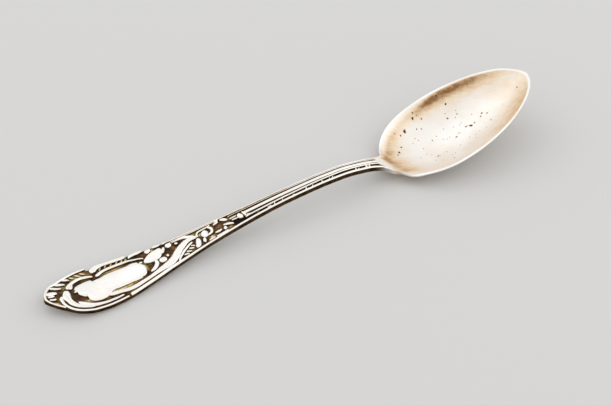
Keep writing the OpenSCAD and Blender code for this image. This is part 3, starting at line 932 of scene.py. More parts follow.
    def way_out(self, r: np.ndarray | float, x: np.ndarray, y: np.ndarray) -> np.ndarray:
        """How far out a ring of the hollow lies, as a share of the outline's reach.

        The inner rings are round, with |u|^bend + |v|^bend constant, and the outer ones take the
        outline's own form with the fifth power of r.

        Args:
            r: The ring, 0 in the middle and 1 at the outline.
            x: Distances of the outline's points from the neck.
            y: Sides of the outline's points.

        Returns:
            The share for each of the points.
        """
        ahead = x > self.widest
        bend = np.where(ahead, self.tip_ring, self.heel_ring)
        reach = np.where(ahead, LINE.bowl_l - self.widest, self.widest * self.heel_reach)
        u = np.abs(x - self.widest) / reach
        rounded = (u**bend + (2 * np.abs(y) / self.width) ** bend) ** (-1 / bend)
        return r * (rounded + (1 - rounded) * r**self.ring_late)

    def ring(self, share: np.ndarray, sink: np.ndarray, floor: float, soft: float) -> np.ndarray:
        """A ring of the bowl's skin.

        Args:
            share: Share of the way from the middle to the outline, for each outline point.
            sink: Depth under the rim's height.
            floor: Height that the ring stays above.
            soft: How softly it comes to that floor.

        Returns:
            The ring's points.
        """
        x, y, _, _ = self.outline()
        across = self.widest + (x - self.widest) * share
        height = at_least(self.rim_height(across) - sink, floor, soft)
        return np.stack([LINE.x_of(LINE.handle_l + across), y * share, height], axis=-1)

    def soft_crease(self, sink: np.ndarray | float) -> np.ndarray:
        """Depth under the rim, with its start rounded as crease * ln(1 + e^(sink/crease))."""
        return self.crease * np.logaddexp(sink / self.crease, 0)

    def hollow_sink(self, r: np.ndarray | float) -> np.ndarray:
        """Depth of the hollow: depth * (1 - r^bend), with its meeting with the rim rounded."""
        return self.soft_crease(self.depth * (1 - r**self.section_bend))

    def hollow(self) -> list[tuple[np.ndarray, np.ndarray, np.ndarray]]:
        """Rings of the hollow, from the middle out to the rim.

        Returns:
            The points, wear and tarnish of each ring; the tarnish also holds the band's painted dark
            reflection and shade.
        """
        x, y, inset, _ = self.outline()
        reach = np.hypot(x - self.widest, y)
        tables = (self.tarnish_and_reflection_strength, self.tarnish_and_reflection_place, self.tinge)
        strength, place, tinge = (smooth_at(self.bearing(), table) for table in tables)
        rows = []
        for r in spaced(self.hollow_runs):
            share = self.way_out(r, x, y) * (reach - inset) / reach
            out = np.full(len(x), r)
            # The band is tarnish and a painted dark reflection on the far wall; its halo towards the
            # middle is a soft painted shade, and stain holds them all.
            core = (1 - self.halo_shade_and_tarnish) * bell(r, place, self.band_in)
            halo = self.halo_shade_and_tarnish * np.exp((r - place) / self.halo_in)
            band = strength * np.where(r > place, bell(r, place, self.band_out), core + halo)
            fade = np.clip((1 - r) / self.browning_fade, 0, 1)
            stain = (band + tinge * ease(*self.tinge_span, out)) * fade
            ring = self.ring(share, self.hollow_sink(out), self.wall, self.floor_soft)
            rows.append((ring, ease(*self.rubbed_span, out), stain))
        return rows

    def rim(self) -> list[tuple[np.ndarray, np.ndarray, np.ndarray]]:
        """Rings of the rubbed rim: a flat top, then a quarter round down its outer corner.

        Returns:
            The points, wear and tarnish of each ring.
        """
        x, y, inset, _ = self.outline()
        reach = np.hypot(x - self.widest, y)
        slope = self.depth * self.section_bend / reach
        corner = np.minimum(self.corner, inset * self.corner_most)
        places = []
        for t in spaced(self.flat_run):
            inward = inset + (corner - inset) * t
            places.append((inward, self.soft_crease(-slope * (inset - inward))))
        for turn in spaced(self.corner_run) * np.pi / 2:
            places.append((corner * (1 - np.sin(turn)), corner * (1 - np.cos(turn))))
        stain = self.rim_tarnish * smooth_at(self.bearing(), self.tarnish_and_reflection_strength)
        return [
            (self.ring((reach - inward) / reach, sink, 0, self.edge_soft), np.ones_like(x), stain)
            for inward, sink in places
        ]

    def back(self) -> list[tuple[np.ndarray, np.ndarray, np.ndarray]]:
        """Rings of the back, under the hollow at the wall's thickness and thinner at the lip.

        Returns:
            The points, wear and tarnish of each ring.
        """
        x, y, _, lip = self.outline()
        strength = smooth_at(self.bearing(), self.tarnish_and_reflection_strength)
        uneven = self.back_even + (1 - self.back_even) * strength
        rows = []
        for r in spaced(self.back_runs):
            out = np.full(len(x), r)
            drop = self.wall + (lip - self.wall) * r**3
            sink = self.depth * (1 - r**self.section_bend) + drop
            ring = self.ring(self.way_out(r, x, y), sink, 0.0, self.back_soft)
            stain = self.back_tarnish + self.back_edge_tarnish * ease(*self.back_edge_span, out)
            rows.append((ring, np.full(len(x), self.back_wear), stain * uneven))
        return rows

    def shell(self) -> Shell:
        """The whole bowl as one closed skin."""
        rows = self.hollow() + self.rim() + self.back()
        return Shell(*(np.array(column) for column in zip(*rows)))

    def floor_at(self, x: np.ndarray, y: np.ndarray) -> np.ndarray:
        """Height of the hollow's floor.

        The ring r of a place is found by adding, a few times over, what its way out lacks.

        Args:
            x: Distances from the neck.
            y: Sides.

        Returns:
            The height at each place.
        """
        edge_x, edge_y, inset, _ = self.outline()
        angle = np.arctan2(edge_y, edge_x - self.widest)
        order = np.argsort(angle)
        turn = np.arctan2(y, x - self.widest)
        edge = np.hypot(edge_x - self.widest, edge_y)[order]
        reach = np.interp(turn, angle[order], edge, period=2 * np.pi)
        limit = np.interp(turn, angle[order], edge - inset[order], period=2 * np.pi)
        out = np.hypot(x - self.widest, y) / limit
        corner_x, corner_y = self.widest + reach * np.cos(turn), reach * np.sin(turn)
        r = out
        for _ in range(8):
            r = r + out - self.way_out(r, corner_x, corner_y)
        return at_least(self.rim_height(x) - self.hollow_sink(r), self.wall, self.floor_soft)


@dataclass(frozen=True)
class BowlPits:
    """Corroded pits in the bowl's floor, each a low crust with a ragged round outline.

    Attributes:
        places: Rows of (distance from the neck, side, diameter), in millimetres.
        small: Number of pinpricks scattered besides them.
        small_d: Diameter of the pinpricks.
        seed: Seed of the draw.
        field_at: Distance from the neck to the middle of the field that they are scattered on.
        field_half: Half of the field's width.
        field_long: How many times longer the field is than wide.
        crust: Height of a crust over the floor.
        points: Number of points round a crust.
        ragged: Rows of how many waves run round a crust, and how high they are.
        rings: Rows of (share of the radius, share of the crust's height, wear).
    """

    places: Table = (
        (24, 15.5, 0.9), (25, 17, 0.6), (27, 13.8, 0.6), (26, 15.6, 0.4), (18.4, 13, 1.2),
        (36.4, 17, 0.8), (38, 13, 0.7), (35.5, 8.3, 0.65), (39.3, 7.4, 0.5), (39.7, -0.8, 1.1),
        (38.2, 0.3, 0.7), (41.4, -0.7, 0.6), (46, 0.7, 0.7), (47.2, -1, 0.6), (44.8, -0.2, 0.6),
        (45.6, -5.3, 0.5), (23.2, 11.6, 0.5), (24.8, 10.8, 0.5), (16, 12.2, 0.6), (14, 13.6, 0.5),
        (13.1, 7.8, 0.7), (10.7, 5.9, 0.9), (9.4, 4.9, 0.6), (21.5, -4.4, 0.6), (23.6, -11.2, 0.5),
        (32.6, -1.1, 0.7), (34.8, -0.2, 0.4), (25.2, 4.2, 0.5), (60.9, -1.5, 0.6),
    )
    small: int = 34
    small_d: float = 0.00034
    seed: int = 7
    field_at: float = 0.031
    field_half: float = 0.0115
    field_long: float = 1.45
    crust: float = 0.00002
    points: int = 14
    ragged: Table = ((2, 0.16), (3, 0.12))
    rings: Table = ((0.25, 1.0, 0.1), (0.7, 0.9, 0.45), (1.2, 0.3, 1.0), (0.4, -2.0, 1.0))

    def shells(self, bowl: Bowl) -> list[Shell]:
        """Crusts as closed skins: ragged circles on the floor, domed by a hair's breadth.

        Args:
            bowl: The bowl that carries them.

        Returns:
            One skin for each pit.
        """
        chance = np.random.default_rng(self.seed)
        out = np.sqrt(chance.random(self.small)) * self.field_half
        bearing = chance.random(self.small) * 2 * np.pi
        rows = [(along * MM, side * MM, wide * MM) for along, side, wide in self.places]
        rows += [
            (self.field_at + self.field_long * a * math.cos(b), a * math.sin(b), self.small_d)
            for a, b in zip(out, bearing)
        ]
        turn = np.linspace(0, 2 * np.pi, self.points + 1)[:-1]
        shells = []
        for along, side, wide in rows:
            waves = (h * np.sin(n * turn + chance.random() * 6) for n, h in self.ragged)
            ragged = sum(waves, 1.0)
            rings = []
            for share, lift, _ in self.rings:
                x = along + np.cos(turn) * ragged * share * wide / 2
                y = side + np.sin(turn) * ragged * share * wide / 2
                z = bowl.floor_at(x, y) + lift * self.crust
                rings.append(np.stack([LINE.x_of(LINE.handle_l + x), y, z], axis=-1))
            wear = np.array([[wear] for _, _, wear in self.rings]) + np.zeros(len(turn))
            shells.append(Shell(np.array(rings), wear))
        return shells


# ---------------------------------------------------------------- handle


@dataclass(frozen=True)
class HandleBar:
    """The plain metal of the handle: broad blade, stem and neck, with softened edges.

    A cross-section has a flat top with rounded corners and a belly whose outline is
    |y|^3 + |z|^2 = 1. The far side is nicked where the shell ends and the scroll begins.

    Each stain of the dark ground, and each place where a groove of the stem is rubbed bare, is
    a row of (distance, side, reach along, reach across, how pale), the places and reaches as
    shares of the handle's length and of its half width. One stain is a painted highlight.

    Attributes:
        corner: Radius of the top's corners.
        corner_most: Most that the radius takes of the half width.
        nick_at: Distance of the nick from the handle's tip.
        nick_reach: Half its length.
        nick_depth: Its depth.
        groove_end: Where the far groove of the stem runs out, from the handle's tip.
        slit: How much further the near groove runs.
        slit_span: Shares of the half width, on the near side, over which that sets in.
        bare_soft: Half the length over which a groove runs out.
        ground_stains_and_highlight: Paler spots of the ground, one of them a painted highlight.
        rubbed: The rubbed places.
        ground_wear: How rubbed the ground is.
        stem_wear: The same for the grooves of the stem.
        stem_span: Shares of the handle's length over which the stem's wear sets in.
        far_wear: How much more that is in the stem's far groove.
        far_span: Shares of the half width over which the far groove sets in.
        least_wear: Least that a stain leaves.
        most_wear: Most that it reaches.
        flank_wear_and_dark_reflection: How rubbed the sides are; their dark finish is tarnish and a
            painted dark reflection.
        back_wear: How rubbed the back is.
        neck_satin: How much of the bowl's dullness the neck's sides and back take.
        neck_span: Shares of the handle's length over which that sets in.
        top_points: Points across the top.
        corner_points: Points round a corner.
        belly_points: Points round the belly.
        tip_rings: Rings round the tip of the handle.
        blade_rings: Rings along the rest of the blade.
        stem_rings: Rings along the stem.
        neck_rings: Rings along the neck.
    """

    corner: float = 0.00024
    corner_most: float = 0.4
    nick_at: float = 0.0216
    nick_reach: float = 0.0011
    nick_depth: float = 0.0008
    groove_end: float = 0.1382
    slit: float = 0.0016
    slit_span: Span = (0.2, 0.6)
    bare_soft: float = 0.0012
    ground_stains_and_highlight: Table = (
        (0.12, 0.8, 0.022, 0.13, 0.34), (0.163, -0.46, 0.012, 0.07, 0.3),
        (0.195, -0.5, 0.035, 0.07, 0.34), (0.2, 0.53, 0.035, 0.05, 0.26),
        (0.355, 0.3, 0.012, 0.2, 0.04), (0.482, 0.08, 0.014, 0.22, 0.09),
        (0.455, -0.45, 0.007, 0.12, 0.36), (0.434, 0.3, 0.004, 0.16, 0.28),
        (0.528, 0.5, 0.014, 0.12, 0.2), (0.312, 0.8, 0.008, 0.12, 0.3),
        (0.415, 0.62, 0.01, 0.12, 0.26), (0.024, -0.6, 0.008, 0.16, 0.3),
        (0.21, -0.82, 0.012, 0.05, 0.32), (0.26, -0.82, 0.02, 0.04, 0.24),
        (0.39, -0.55, 0.012, 0.2, 0.2), (0.068, 0.6, 0.008, 0.12, 0.24),
        # The row at (0.098, -0.44) is a painted highlight on the ground, not a paler patch of it.
        (0.098, -0.44, 0.01, 0.06, 0.3), (0.272, 0.0, 0.004, 0.25, 0.3),
        (0.508, -0.5, 0.008, 0.12, 0.2), (0.47, 0.85, 0.012, 0.08, 0.3),
    )
    rubbed: Table = (
        (0.592, -0.55, 0.004, 0.25, 0.45), (0.626, -0.55, 0.006, 0.3, 1.0),
        (0.686, -0.6, 0.004, 0.25, 0.45), (0.7, -0.58, 0.004, 0.25, 0.9),
        (0.933, -0.45, 0.007, 0.35, 1.0), (0.68, -0.1, 0.014, 0.16, 0.4),
        (0.738, -0.05, 0.014, 0.18, 0.7), (0.905, 0.0, 0.03, 0.18, 0.4),
        (0.726, 0.65, 0.022, 0.35, 0.8), (0.88, 0.6, 0.045, 0.25, 0.3),
        (0.567, -0.14, 0.009, 0.2, 0.7),
    )
    ground_wear: float = 0.09
    stem_wear: float = -0.13
    stem_span: Span = (0.5, 0.57)
    far_wear: float = 0.24
    far_span: Span = (0.1, 0.35)
    least_wear: float = -0.15
    most_wear: float = 0.85
    flank_wear_and_dark_reflection: float = 0.06
    back_wear: float = 0.82
    neck_satin: float = 0.85
    neck_span: Span = (0.95, 1.0)
    top_points: int = 33
    corner_points: int = 5
    belly_points: int = 31
    tip_rings: int = 40
    blade_rings: int = 120
    stem_rings: int = 90
    neck_rings: int = 40

    def section(self, s: np.ndarray) -> tuple[np.ndarray, np.ndarray, np.ndarray]:
        """Cross-sections at a row of distances.

        Args:
            s: Distances from the handle's tip.

        Returns:
            Side and height of each section's points, and what part each point belongs to:
            1 on the top, 0 down the side, -1 under the belly.
        """
        half = LINE.half_width(s)[:, None]
        thick = LINE.thickness(s)[:, None]
        radius = np.minimum(self.corner, half * self.corner_most)
        flat = np.linspace(-1, 1, self.top_points)
        bend = np.linspace(0, np.pi / 2, self.corner_points + 1)[1:]
        under = np.linspace(0, np.pi, self.belly_points)
        top_y, top_z = flat * (half - radius), thick + 0 * flat
        right_y, right_z = half - radius * (1 - np.sin(bend)), thick - radius * (1 - np.cos(bend))
        cosine = np.cos(under)
        belly_y = half * np.sign(cosine) * np.abs(cosine) ** (2 / 3)
        belly_z = LINE.belly * thick * (1 - np.sin(under))
        side = np.concatenate([top_y, right_y, belly_y, -right_y[:, ::-1]], axis=1)
        height = np.concatenate([top_z, right_z, belly_z, right_z[:, ::-1]], axis=1)
        edge = np.linspace(0.7, 0, self.corner_points)
        part = np.concatenate([
            np.ones(self.top_points), edge, -np.sqrt(np.clip(np.sin(under), 0, 1)), edge[::-1],
        ])
        nick = self.nick_depth * bell(s, self.nick_at, self.nick_reach)[:, None]
        side = side - nick * np.clip(side / half, 0, 1) + LINE.middle(s)[:, None]
        return side, height + LINE.under(s)[:, None], part

    def shell(self, s: np.ndarray) -> Shell:
        """The bar along a row of distances, as one closed skin.

        Args:
            s: Distances from the handle's tip, rising.

        Returns:
            The skin; its top is dark where ornament or reeds cover it.
        """
        side, height, part = self.section(s)
        x = LINE.x_of(s)[:, None] + 0 * side
        share = (side - LINE.middle(s)[:, None]) / LINE.half_width(s)[:, None]
        along = (s / LINE.handle_l)[:, None]
        groove_end = self.groove_end + self.slit * ease(*self.slit_span, -share)
        bare = ease(-self.bare_soft, self.bare_soft, s[:, None] - groove_end)
        spots = [
            pale * bell(along, u, reach_u) * bell(share, t, reach_t)
            for u, t, reach_u, reach_t, pale in self.ground_stains_and_highlight + self.rubbed
        ]
        on_stem = self.far_wear * ease(*self.far_span, share) + self.stem_wear
        ground = self.ground_wear + ease(*self.stem_span, along) * (on_stem - self.ground_wear)
        top = np.clip(ground + sum(spots), self.least_wear, self.most_wear) * (1 - bare) + bare
        # The sides get a dark finish that is tarnish and a painted dark reflection; the back stays
        # pale.
        above = top * part + self.flank_wear_and_dark_reflection * (1 - part)
        below = self.flank_wear_and_dark_reflection * (1 + part) - self.back_wear * part
        plain = self.neck_satin * ease(*self.neck_span, along)
        tarnish = plain + (bare - plain) * np.clip(part, 0, 1)
        skin = np.stack([x, side, height], axis=-1)
        return Shell(skin, np.where(part > 0, above, below), tarnish)

    def shells(self) -> dict[str, Shell]:
        """Skins of the three pieces of the handle.

        The rings of the blade begin as a quarter round, closest together at the tip.

        Returns:
            The skin for each node.
        """
        round_end, blade_end, neck_start = (
            share * LINE.handle_l for share in (LINE.end_share, LINE.blade_end, LINE.neck_start)
        )
        tip = round_end * (1 - np.cos(np.linspace(0, np.pi / 2, self.tip_rings)))
        blade = np.concatenate([tip, np.linspace(round_end, blade_end, self.blade_rings)[1:]])
        stem = np.linspace(blade_end, neck_start, self.stem_rings)
        neck = np.linspace(neck_start, LINE.handle_l, self.neck_rings)
        places = {"handle_blade": blade, "stem": stem, "neck": neck}
        return {node: self.shell(s) for node, s in places.items()}


@dataclass(frozen=True)
class Section:
    """A cross-section: (1 - |v|^bend)^root with v from -1 to 1, grooved and ribbed.

    Attributes:
        bend: How square it is.
        root: How steep its edges are.
        crown: Height of the top's edge, as a share of its middle.
        groove: Depth of the groove along it, as a share of its height.
        at: Where across the groove lies.
        reach: How wide the groove is.
        opens: Shares of the whole run between which the groove opens.
        shine: How rubbed it is beside the groove.
        dull: How much less rubbed the groove is, for its depth.
        ribs: Height of the slanting ribs across it, as a share of its height.
        rib_span: Places across, between which the ribs rise.
        rib_step: Distance from rib to rib.
        rib_slant: How many ribs their slant passes over.
        rib_shine: How much more rubbed the ribs are, for their height.
    """

    bend: float = 2.0
    root: float = 0.5
    crown: float = 1.0
    groove: float = 0.0
    at: float = 0.0
    reach: float = 1.0
    opens: Span = (-1.0, 0.0)
    shine: float = 1.0
    dull: float = 0.0
    ribs: float = 0.0
    rib_span: Span = (0.1, 0.6)
    rib_step: float = 0.0011
    rib_slant: float = 1.4
    rib_shine: float = 1.5

    def profile(
        self, v: np.ndarray, run: np.ndarray, t: np.ndarray
    ) -> tuple[np.ndarray, np.ndarray]:
        """Height of the cross-section and how rubbed it is.

        Args:
            v: Place across, from -1 to 1.
            run: Distance along, in metres.
            t: The same as a share of the whole run.

        Returns:
            Height share and wear, both about from 0 to 1.
        """
        out = np.abs(v)
        base = np.clip(1 - out**self.bend, 0, 1) ** self.root
        base = base * (self.crown + (1 - self.crown) * (1 - v**2))
        groove = self.groove * bell(v, self.at, self.reach) * ease(*self.opens, t)
        waves = np.sin((run / self.rib_step - self.rib_slant * out) * 2 * np.pi)
        ribs = self.ribs * waves * ease(*self.rib_span, out)
        wear = self.shine - self.dull * groove + self.rib_shine * ribs
        return base * (1 - groove + ribs), wear


class Form(Enum):
    """Cross-sections that the raised ornament has."""

    ROUND = Section()
    CUSHION = Section(bend=3.2, crown=0.86)
    CHANNEL = Section(bend=5.0, groove=0.3, at=0.1, reach=0.42, shine=1.05, dull=1.6)
    TWIN = Section(
        bend=4.0, groove=0.5, at=0.15, reach=0.16, opens=(0.05, 0.25), shine=1.1, dull=1.5
    )
    LEAF = Section(bend=2.6, root=0.6, groove=0.28, reach=0.1, dull=1.2, ribs=0.12)
    PETAL = Section(bend=3.0, groove=0.25, reach=0.3, opens=(0.25, 0.6), shine=1.1, dull=0.9)


def across(count: int) -> np.ndarray:
    """Places across a raised shape, from -1 to 1, closest together at its edges."""
    return np.sin(np.linspace(-np.pi / 2, np.pi / 2, count))


@dataclass(frozen=True)
class Relief:
    """One raised shape, carried along a path over the ground of the handle.

    Attributes:
        path: Points of (distance, side, half width), as shares of the handle's length, of its
            half width there and of the broad end's width.
        form: Its cross-section.
        height: Height over the ground.
        along: Number of rings along it.
        shine: How rubbed it is, from 0 to 1.
        spread: How many times wider it is at its foot than the path says.
        rim: How much wider it is besides.
        sink: How deep its foot sits in the ground.
        fringe: Width of the tarnished fringe along its edges.
        fringe_most: Most that the fringe takes of the half width.
        least: Least half width, as the path gives it.
        cap_least: Least share of the width and height that is left at its ends.
        cap_bend: How the height follows the width at its ends.
        cap_span: Shares of the width between which its ends become rubbed.
        top_points: Number of points across it.
        foot: Shares of the half width at which the points of its underside lie.
        foot_sink: How many times deeper its underside lies than its foot's edge.
    """

    path: Table
    form: Form = Form.ROUND
    height: float = 0.0007
    along: int = 64
    shine: float = 1.0
    spread: float = 1.08
    rim: float = 0.00005
    sink: float = 0.00012
    fringe: float = 0.00028
    fringe_most: float = 0.62
    least: float = 0.004
    cap_least: float = 0.02
    cap_bend: float = 0.8
    cap_span: Span = (0.1, 0.7)
    top_points: int = 29
    foot: tuple[float, ...] = (0.92, 0.0, -0.92)
    foot_sink: float = 1.3

    def shell(self) -> Shell:
        """The shape as a closed skin.

        Across the path the surface follows the cross-section; its ends are rounded by closing
        the width as sqrt(1 - (1 - d/w)^2), with d the distance to the end and w the half width.

        Returns:
            The skin, its foot sunk a little into the ground.
        """
        t = (1 - np.cos(np.linspace(0, np.pi, self.along))) / 2
        share = smooth_path(self.path, t * (len(self.path) - 1))
        s = share[:, 0] * LINE.handle_l
        y = LINE.middle(s) + share[:, 1] * LINE.half_width(s)
        half = np.clip(share[:, 2], self.least, None) * self.spread * LINE.blade_w + self.rim
        way = np.gradient(np.stack([s, y], axis=-1), axis=0)
        way /= np.hypot(way[:, 0], way[:, 1])[:, None]
        run = np.concatenate([[0], np.cumsum(np.hypot(np.diff(s), np.diff(y)))])
        inner = np.clip(np.minimum(run / half[0], (run[-1] - run) / half[-1]), 0, 1)
        cap = np.sqrt(np.clip(1 - (1 - inner) ** 2, self.cap_least**2, 1))[:, None]
        v = across(self.top_points)
        high, wear = self.form.value.profile(v, run[:, None], (run / run[-1])[:, None])
        high = high * cap**self.cap_bend
        fringe = np.minimum(self.fringe, self.fringe_most * half)[:, None]
        rub = ease(0.0, 1.0, (1 - np.abs(v)) * half[:, None] / fringe)
        wear = wear * rub * ease(*self.cap_span, cap) * self.shine
        closed = half[:, None] * cap
        top = self.lay(s, y, way, v * closed, self.sink * (high - 1) + self.height * high)
        foot = np.array(self.foot) * closed
        bottom = self.lay(s, y, way, foot, np.full(foot.shape, -self.foot_sink * self.sink))
        rings = np.concatenate([top, bottom], axis=1)
        return Shell(rings, np.concatenate([wear, 0 * foot], axis=1))

    @staticmethod
    def lay(
        s: np.ndarray, y: np.ndarray, way: np.ndarray, left: np.ndarray, lift: np.ndarray
    ) -> np.ndarray:
        """Lay points on the ground of the handle.

        Args:
            s: Distances of the path's points.
            y: Sides of the path's points.
            way: Directions of the path.
            left: Distances to the left of the path.
            lift: Heights over the ground.

        Returns:
            The points in the frame.
        """
        along = s[:, None] - way[:, 1:] * left
        middle, half = LINE.middle(along), LINE.half_width(along)
        side = np.clip(y[:, None] + way[:, :1] * left, middle - half, middle + half)
        return np.stack([LINE.x_of(along), side, LINE.ground(along) + lift], axis=-1)


def several(
    paths: tuple[Table, ...], form: Form, height: float = 0.0007, along: int = 36,
    shine: float = 1.0,
) -> list[Shell]:
    """Skins of several raised shapes, one for each path, the rest as in Relief."""
    return [Relief(path, form, height, along, shine).shell() for path in paths]


@dataclass(frozen=True)
class Thread:
    """A raised line that keeps its share of the half width along the handle.

    Attributes:
        start: Where it starts, as a share of the handle's length.
        end: Where it ends.
        side: Its share of the half width.
        width: Its width.
        height: Its height over the ground.
        shine: How bright its finish is, from 0 to 1, in rows of (distance, shine).
        drift: How far its side moves towards the neck.
        widen: How much wider it gets towards the neck.
        widen_span: Shares of the handle's length over which it drifts and widens.
        broaden: How much wider it is at the broad end.
        broaden_span: Shares of the handle's length over which that is lost.
        fringe: Width of the tarnished fringe along its edges.
        sink: How deep its foot sits in the ground.
        start_round: Distance over which its start is rounded.
        end_round: Distance over which its end is rounded.
        bend: How square its cross-section is.
        sink_span: Shares of the handle's length over which it sinks into the neck.
        sunk: Share of its height that is lost there.
        melt_span: Shares of the handle's length over which its finish becomes the rim's.
        rings: Number of rings along it.
        top_points: Number of points across it.
        foot: Shares of the half width at which the points of its underside lie.
        foot_sink: How many times deeper its underside lies than its foot's edge.
    """

    start: float
    end: float
    side: float
    width: float = 0.0008
    height: float = 0.0005
    shine: Table = ((0, 1), (1, 1))
    drift: float = 0.0
    widen: float = 0.0
    widen_span: Span = (0.62, 0.9)
    broaden: float = 0.0
    broaden_span: Span = (0.3, 0.42)
    fringe: float = 0.0002
    sink: float = 0.00012
    start_round: float = 0.0012
    end_round: float = 0.0024
    bend: float = 2.6
    sink_span: Span = (0.965, 1.0)
    sunk: float = 0.75
    melt_span: Span = (0.97, 0.988)
    rings: int = 260
    top_points: int = 21
    foot: tuple[float, ...] = (0.9, 0.0, -0.9)
    foot_sink: float = 1.3

    def shell(self) -> Shell:
        """The thread as a closed skin, which melts into the rim at the neck's end.

        Its cross-section is sqrt(1 - |v|^bend) with v from -1 to 1.

        Returns:
            The skin, its foot sunk a little into the ground.
        """
        s = np.linspace(self.start, self.end, self.rings)[:, None] * LINE.handle_l
        u = s / LINE.handle_l
        v = across(self.top_points)
        late, early = ease(*self.widen_span, u), 1 - ease(*self.broaden_span, u)
        width = self.width + self.widen * late + self.broaden * early
        side = (self.side + self.drift * late) * (LINE.half_width(s) - width / 2)
        middle = LINE.middle(s) + side
        high = np.clip(1 - np.abs(v) ** self.bend, 0, 1) ** 0.5
        rub = ease(0.0, 1.0, (1 - np.abs(v)) * width / 2 / self.fringe)
        ends = np.minimum((s - s[0]) / self.start_round, (s[-1] - s) / self.end_round)
        ends = np.sqrt(np.clip(1 - (1 - np.clip(ends, 0, 1)) ** 2, 0.001, 1))
        sunk = ease(*self.sink_span, u) * self.sunk
        lift = self.sink * (high - 1) + self.height * high * (1 - sunk) * ends
        foot = np.array(self.foot) * width / 2
        x = LINE.x_of(s) + np.zeros(len(v) + len(self.foot))
        sides = middle + np.concatenate([v * width / 2, foot], axis=1)
        under = np.full(foot.shape, -self.foot_sink * self.sink)
        heights = LINE.ground(s) + np.concatenate([lift, under], axis=1)
        melt = ease(*self.melt_span, u)
        rub = np.clip(rub * ease(0.0, 0.5, ends), 0, 1)
        wear = rub * smooth_at(u, self.shine) * (1 - melt) + melt
        wear = np.concatenate([wear, 0 * foot], axis=1)
        return Shell(np.stack([x, sides, heights], axis=-1), wear, melt + 0 * x)


@dataclass(frozen=True)
class Reeding:
    """Reeds of the stem and the threads along the handle's edges.

    Each bridge across the near groove is a row of (distance, near end, far end, half width), as
    shares of the handle's length, of its half width and of the broad end's width.

    Attributes:
        near_w: Width of the near edge thread.
        near_widen: How much wider that gets towards the neck.
        near_broaden: How much wider it is at the broad end.
        far_w: Width of the far edge thread.
        wide_w: Width of the wide middle reed.
        wide_fringe: Width of its tarnished fringe.
        narrow_w: Width of the narrow middle reed.
        inner_w: Width of the fine threads beside the far one.
        dull: How bright the far threads are along the handle, dimmer before 0.67 of its length, in
            rows of (distance, shine).
        even: The same for the fine thread at the broad end.
        slant: How far a bridge leans along the handle, as a share of its length.
        bridge_h: Height of a bridge.
        bridge_rings: Number of rings along a bridge.
        bridges: The bridges.
    """

    near_w: float = 0.001
    near_widen: float = 0.0002
    near_broaden: float = 0.0005
    far_w: float = 0.0007
    wide_w: float = 0.00155
    wide_fringe: float = 0.00034
    narrow_w: float = 0.00078
    inner_w: float = 0.00048
    dull: Table = ((0, 0.55), (0.67, 0.55), (0.73, 0.9), (1, 0.85))
    even: Table = ((0, 0.8), (1, 0.8))
    slant: float = 0.0025
    bridge_h: float = 0.0004
    bridge_rings: int = 14
    bridges: Table = (
        (0.641, -0.74, -0.42, 0.01), (0.665, -0.72, -0.45, 0.006), (0.738, -0.76, -0.4, 0.014),
        (0.758, -0.72, -0.42, 0.008), (0.787, -0.74, -0.38, 0.011), (0.81, -0.72, -0.42, 0.007),
        (0.82, -0.74, -0.38, 0.011), (0.895, -0.66, -0.28, 0.012), (0.903, -0.66, -0.4, 0.008),
        (0.929, -0.62, -0.2, 0.018), (0.939, -0.66, -0.2, 0.016),
    )

    def shells(self) -> dict[str, list[Shell]]:
        """Skins of each piece.

        Returns:
            The skins for each node.
        """
        near = Thread(
            0.193, 1.0, -1.0, self.near_w, widen=self.near_widen, broaden=self.near_broaden
        )
        far = Thread(0.345, 1.0, 1.0, self.far_w, shine=self.dull)
        beside_far = Thread(0.36, 0.485, 0.86, self.inner_w, shine=self.even)
        inner = Thread(0.52, 0.985, 0.71, self.inner_w, shine=self.dull)
        wide = Thread(0.555, 0.985, 0.31, self.wide_w, drift=0.06, fringe=self.wide_fringe)
        narrow = Thread(0.557, 0.982, -0.37, self.narrow_w, drift=0.2)
        bridges = tuple(
            ((u - self.slant, low, w), (u, (low + high) / 2, w), (u + self.slant, high, w))
            for u, low, high, w in self.bridges
        )
        return {
            "near_edge_thread": [near.shell()],
            "far_edge_thread": [far.shell(), beside_far.shell()],
            "far_inner_thread": [inner.shell()],
            "centre_reeds": [
                wide.shell(), narrow.shell(),
                *several(bridges, Form.ROUND, self.bridge_h, self.bridge_rings),
            ],
        }


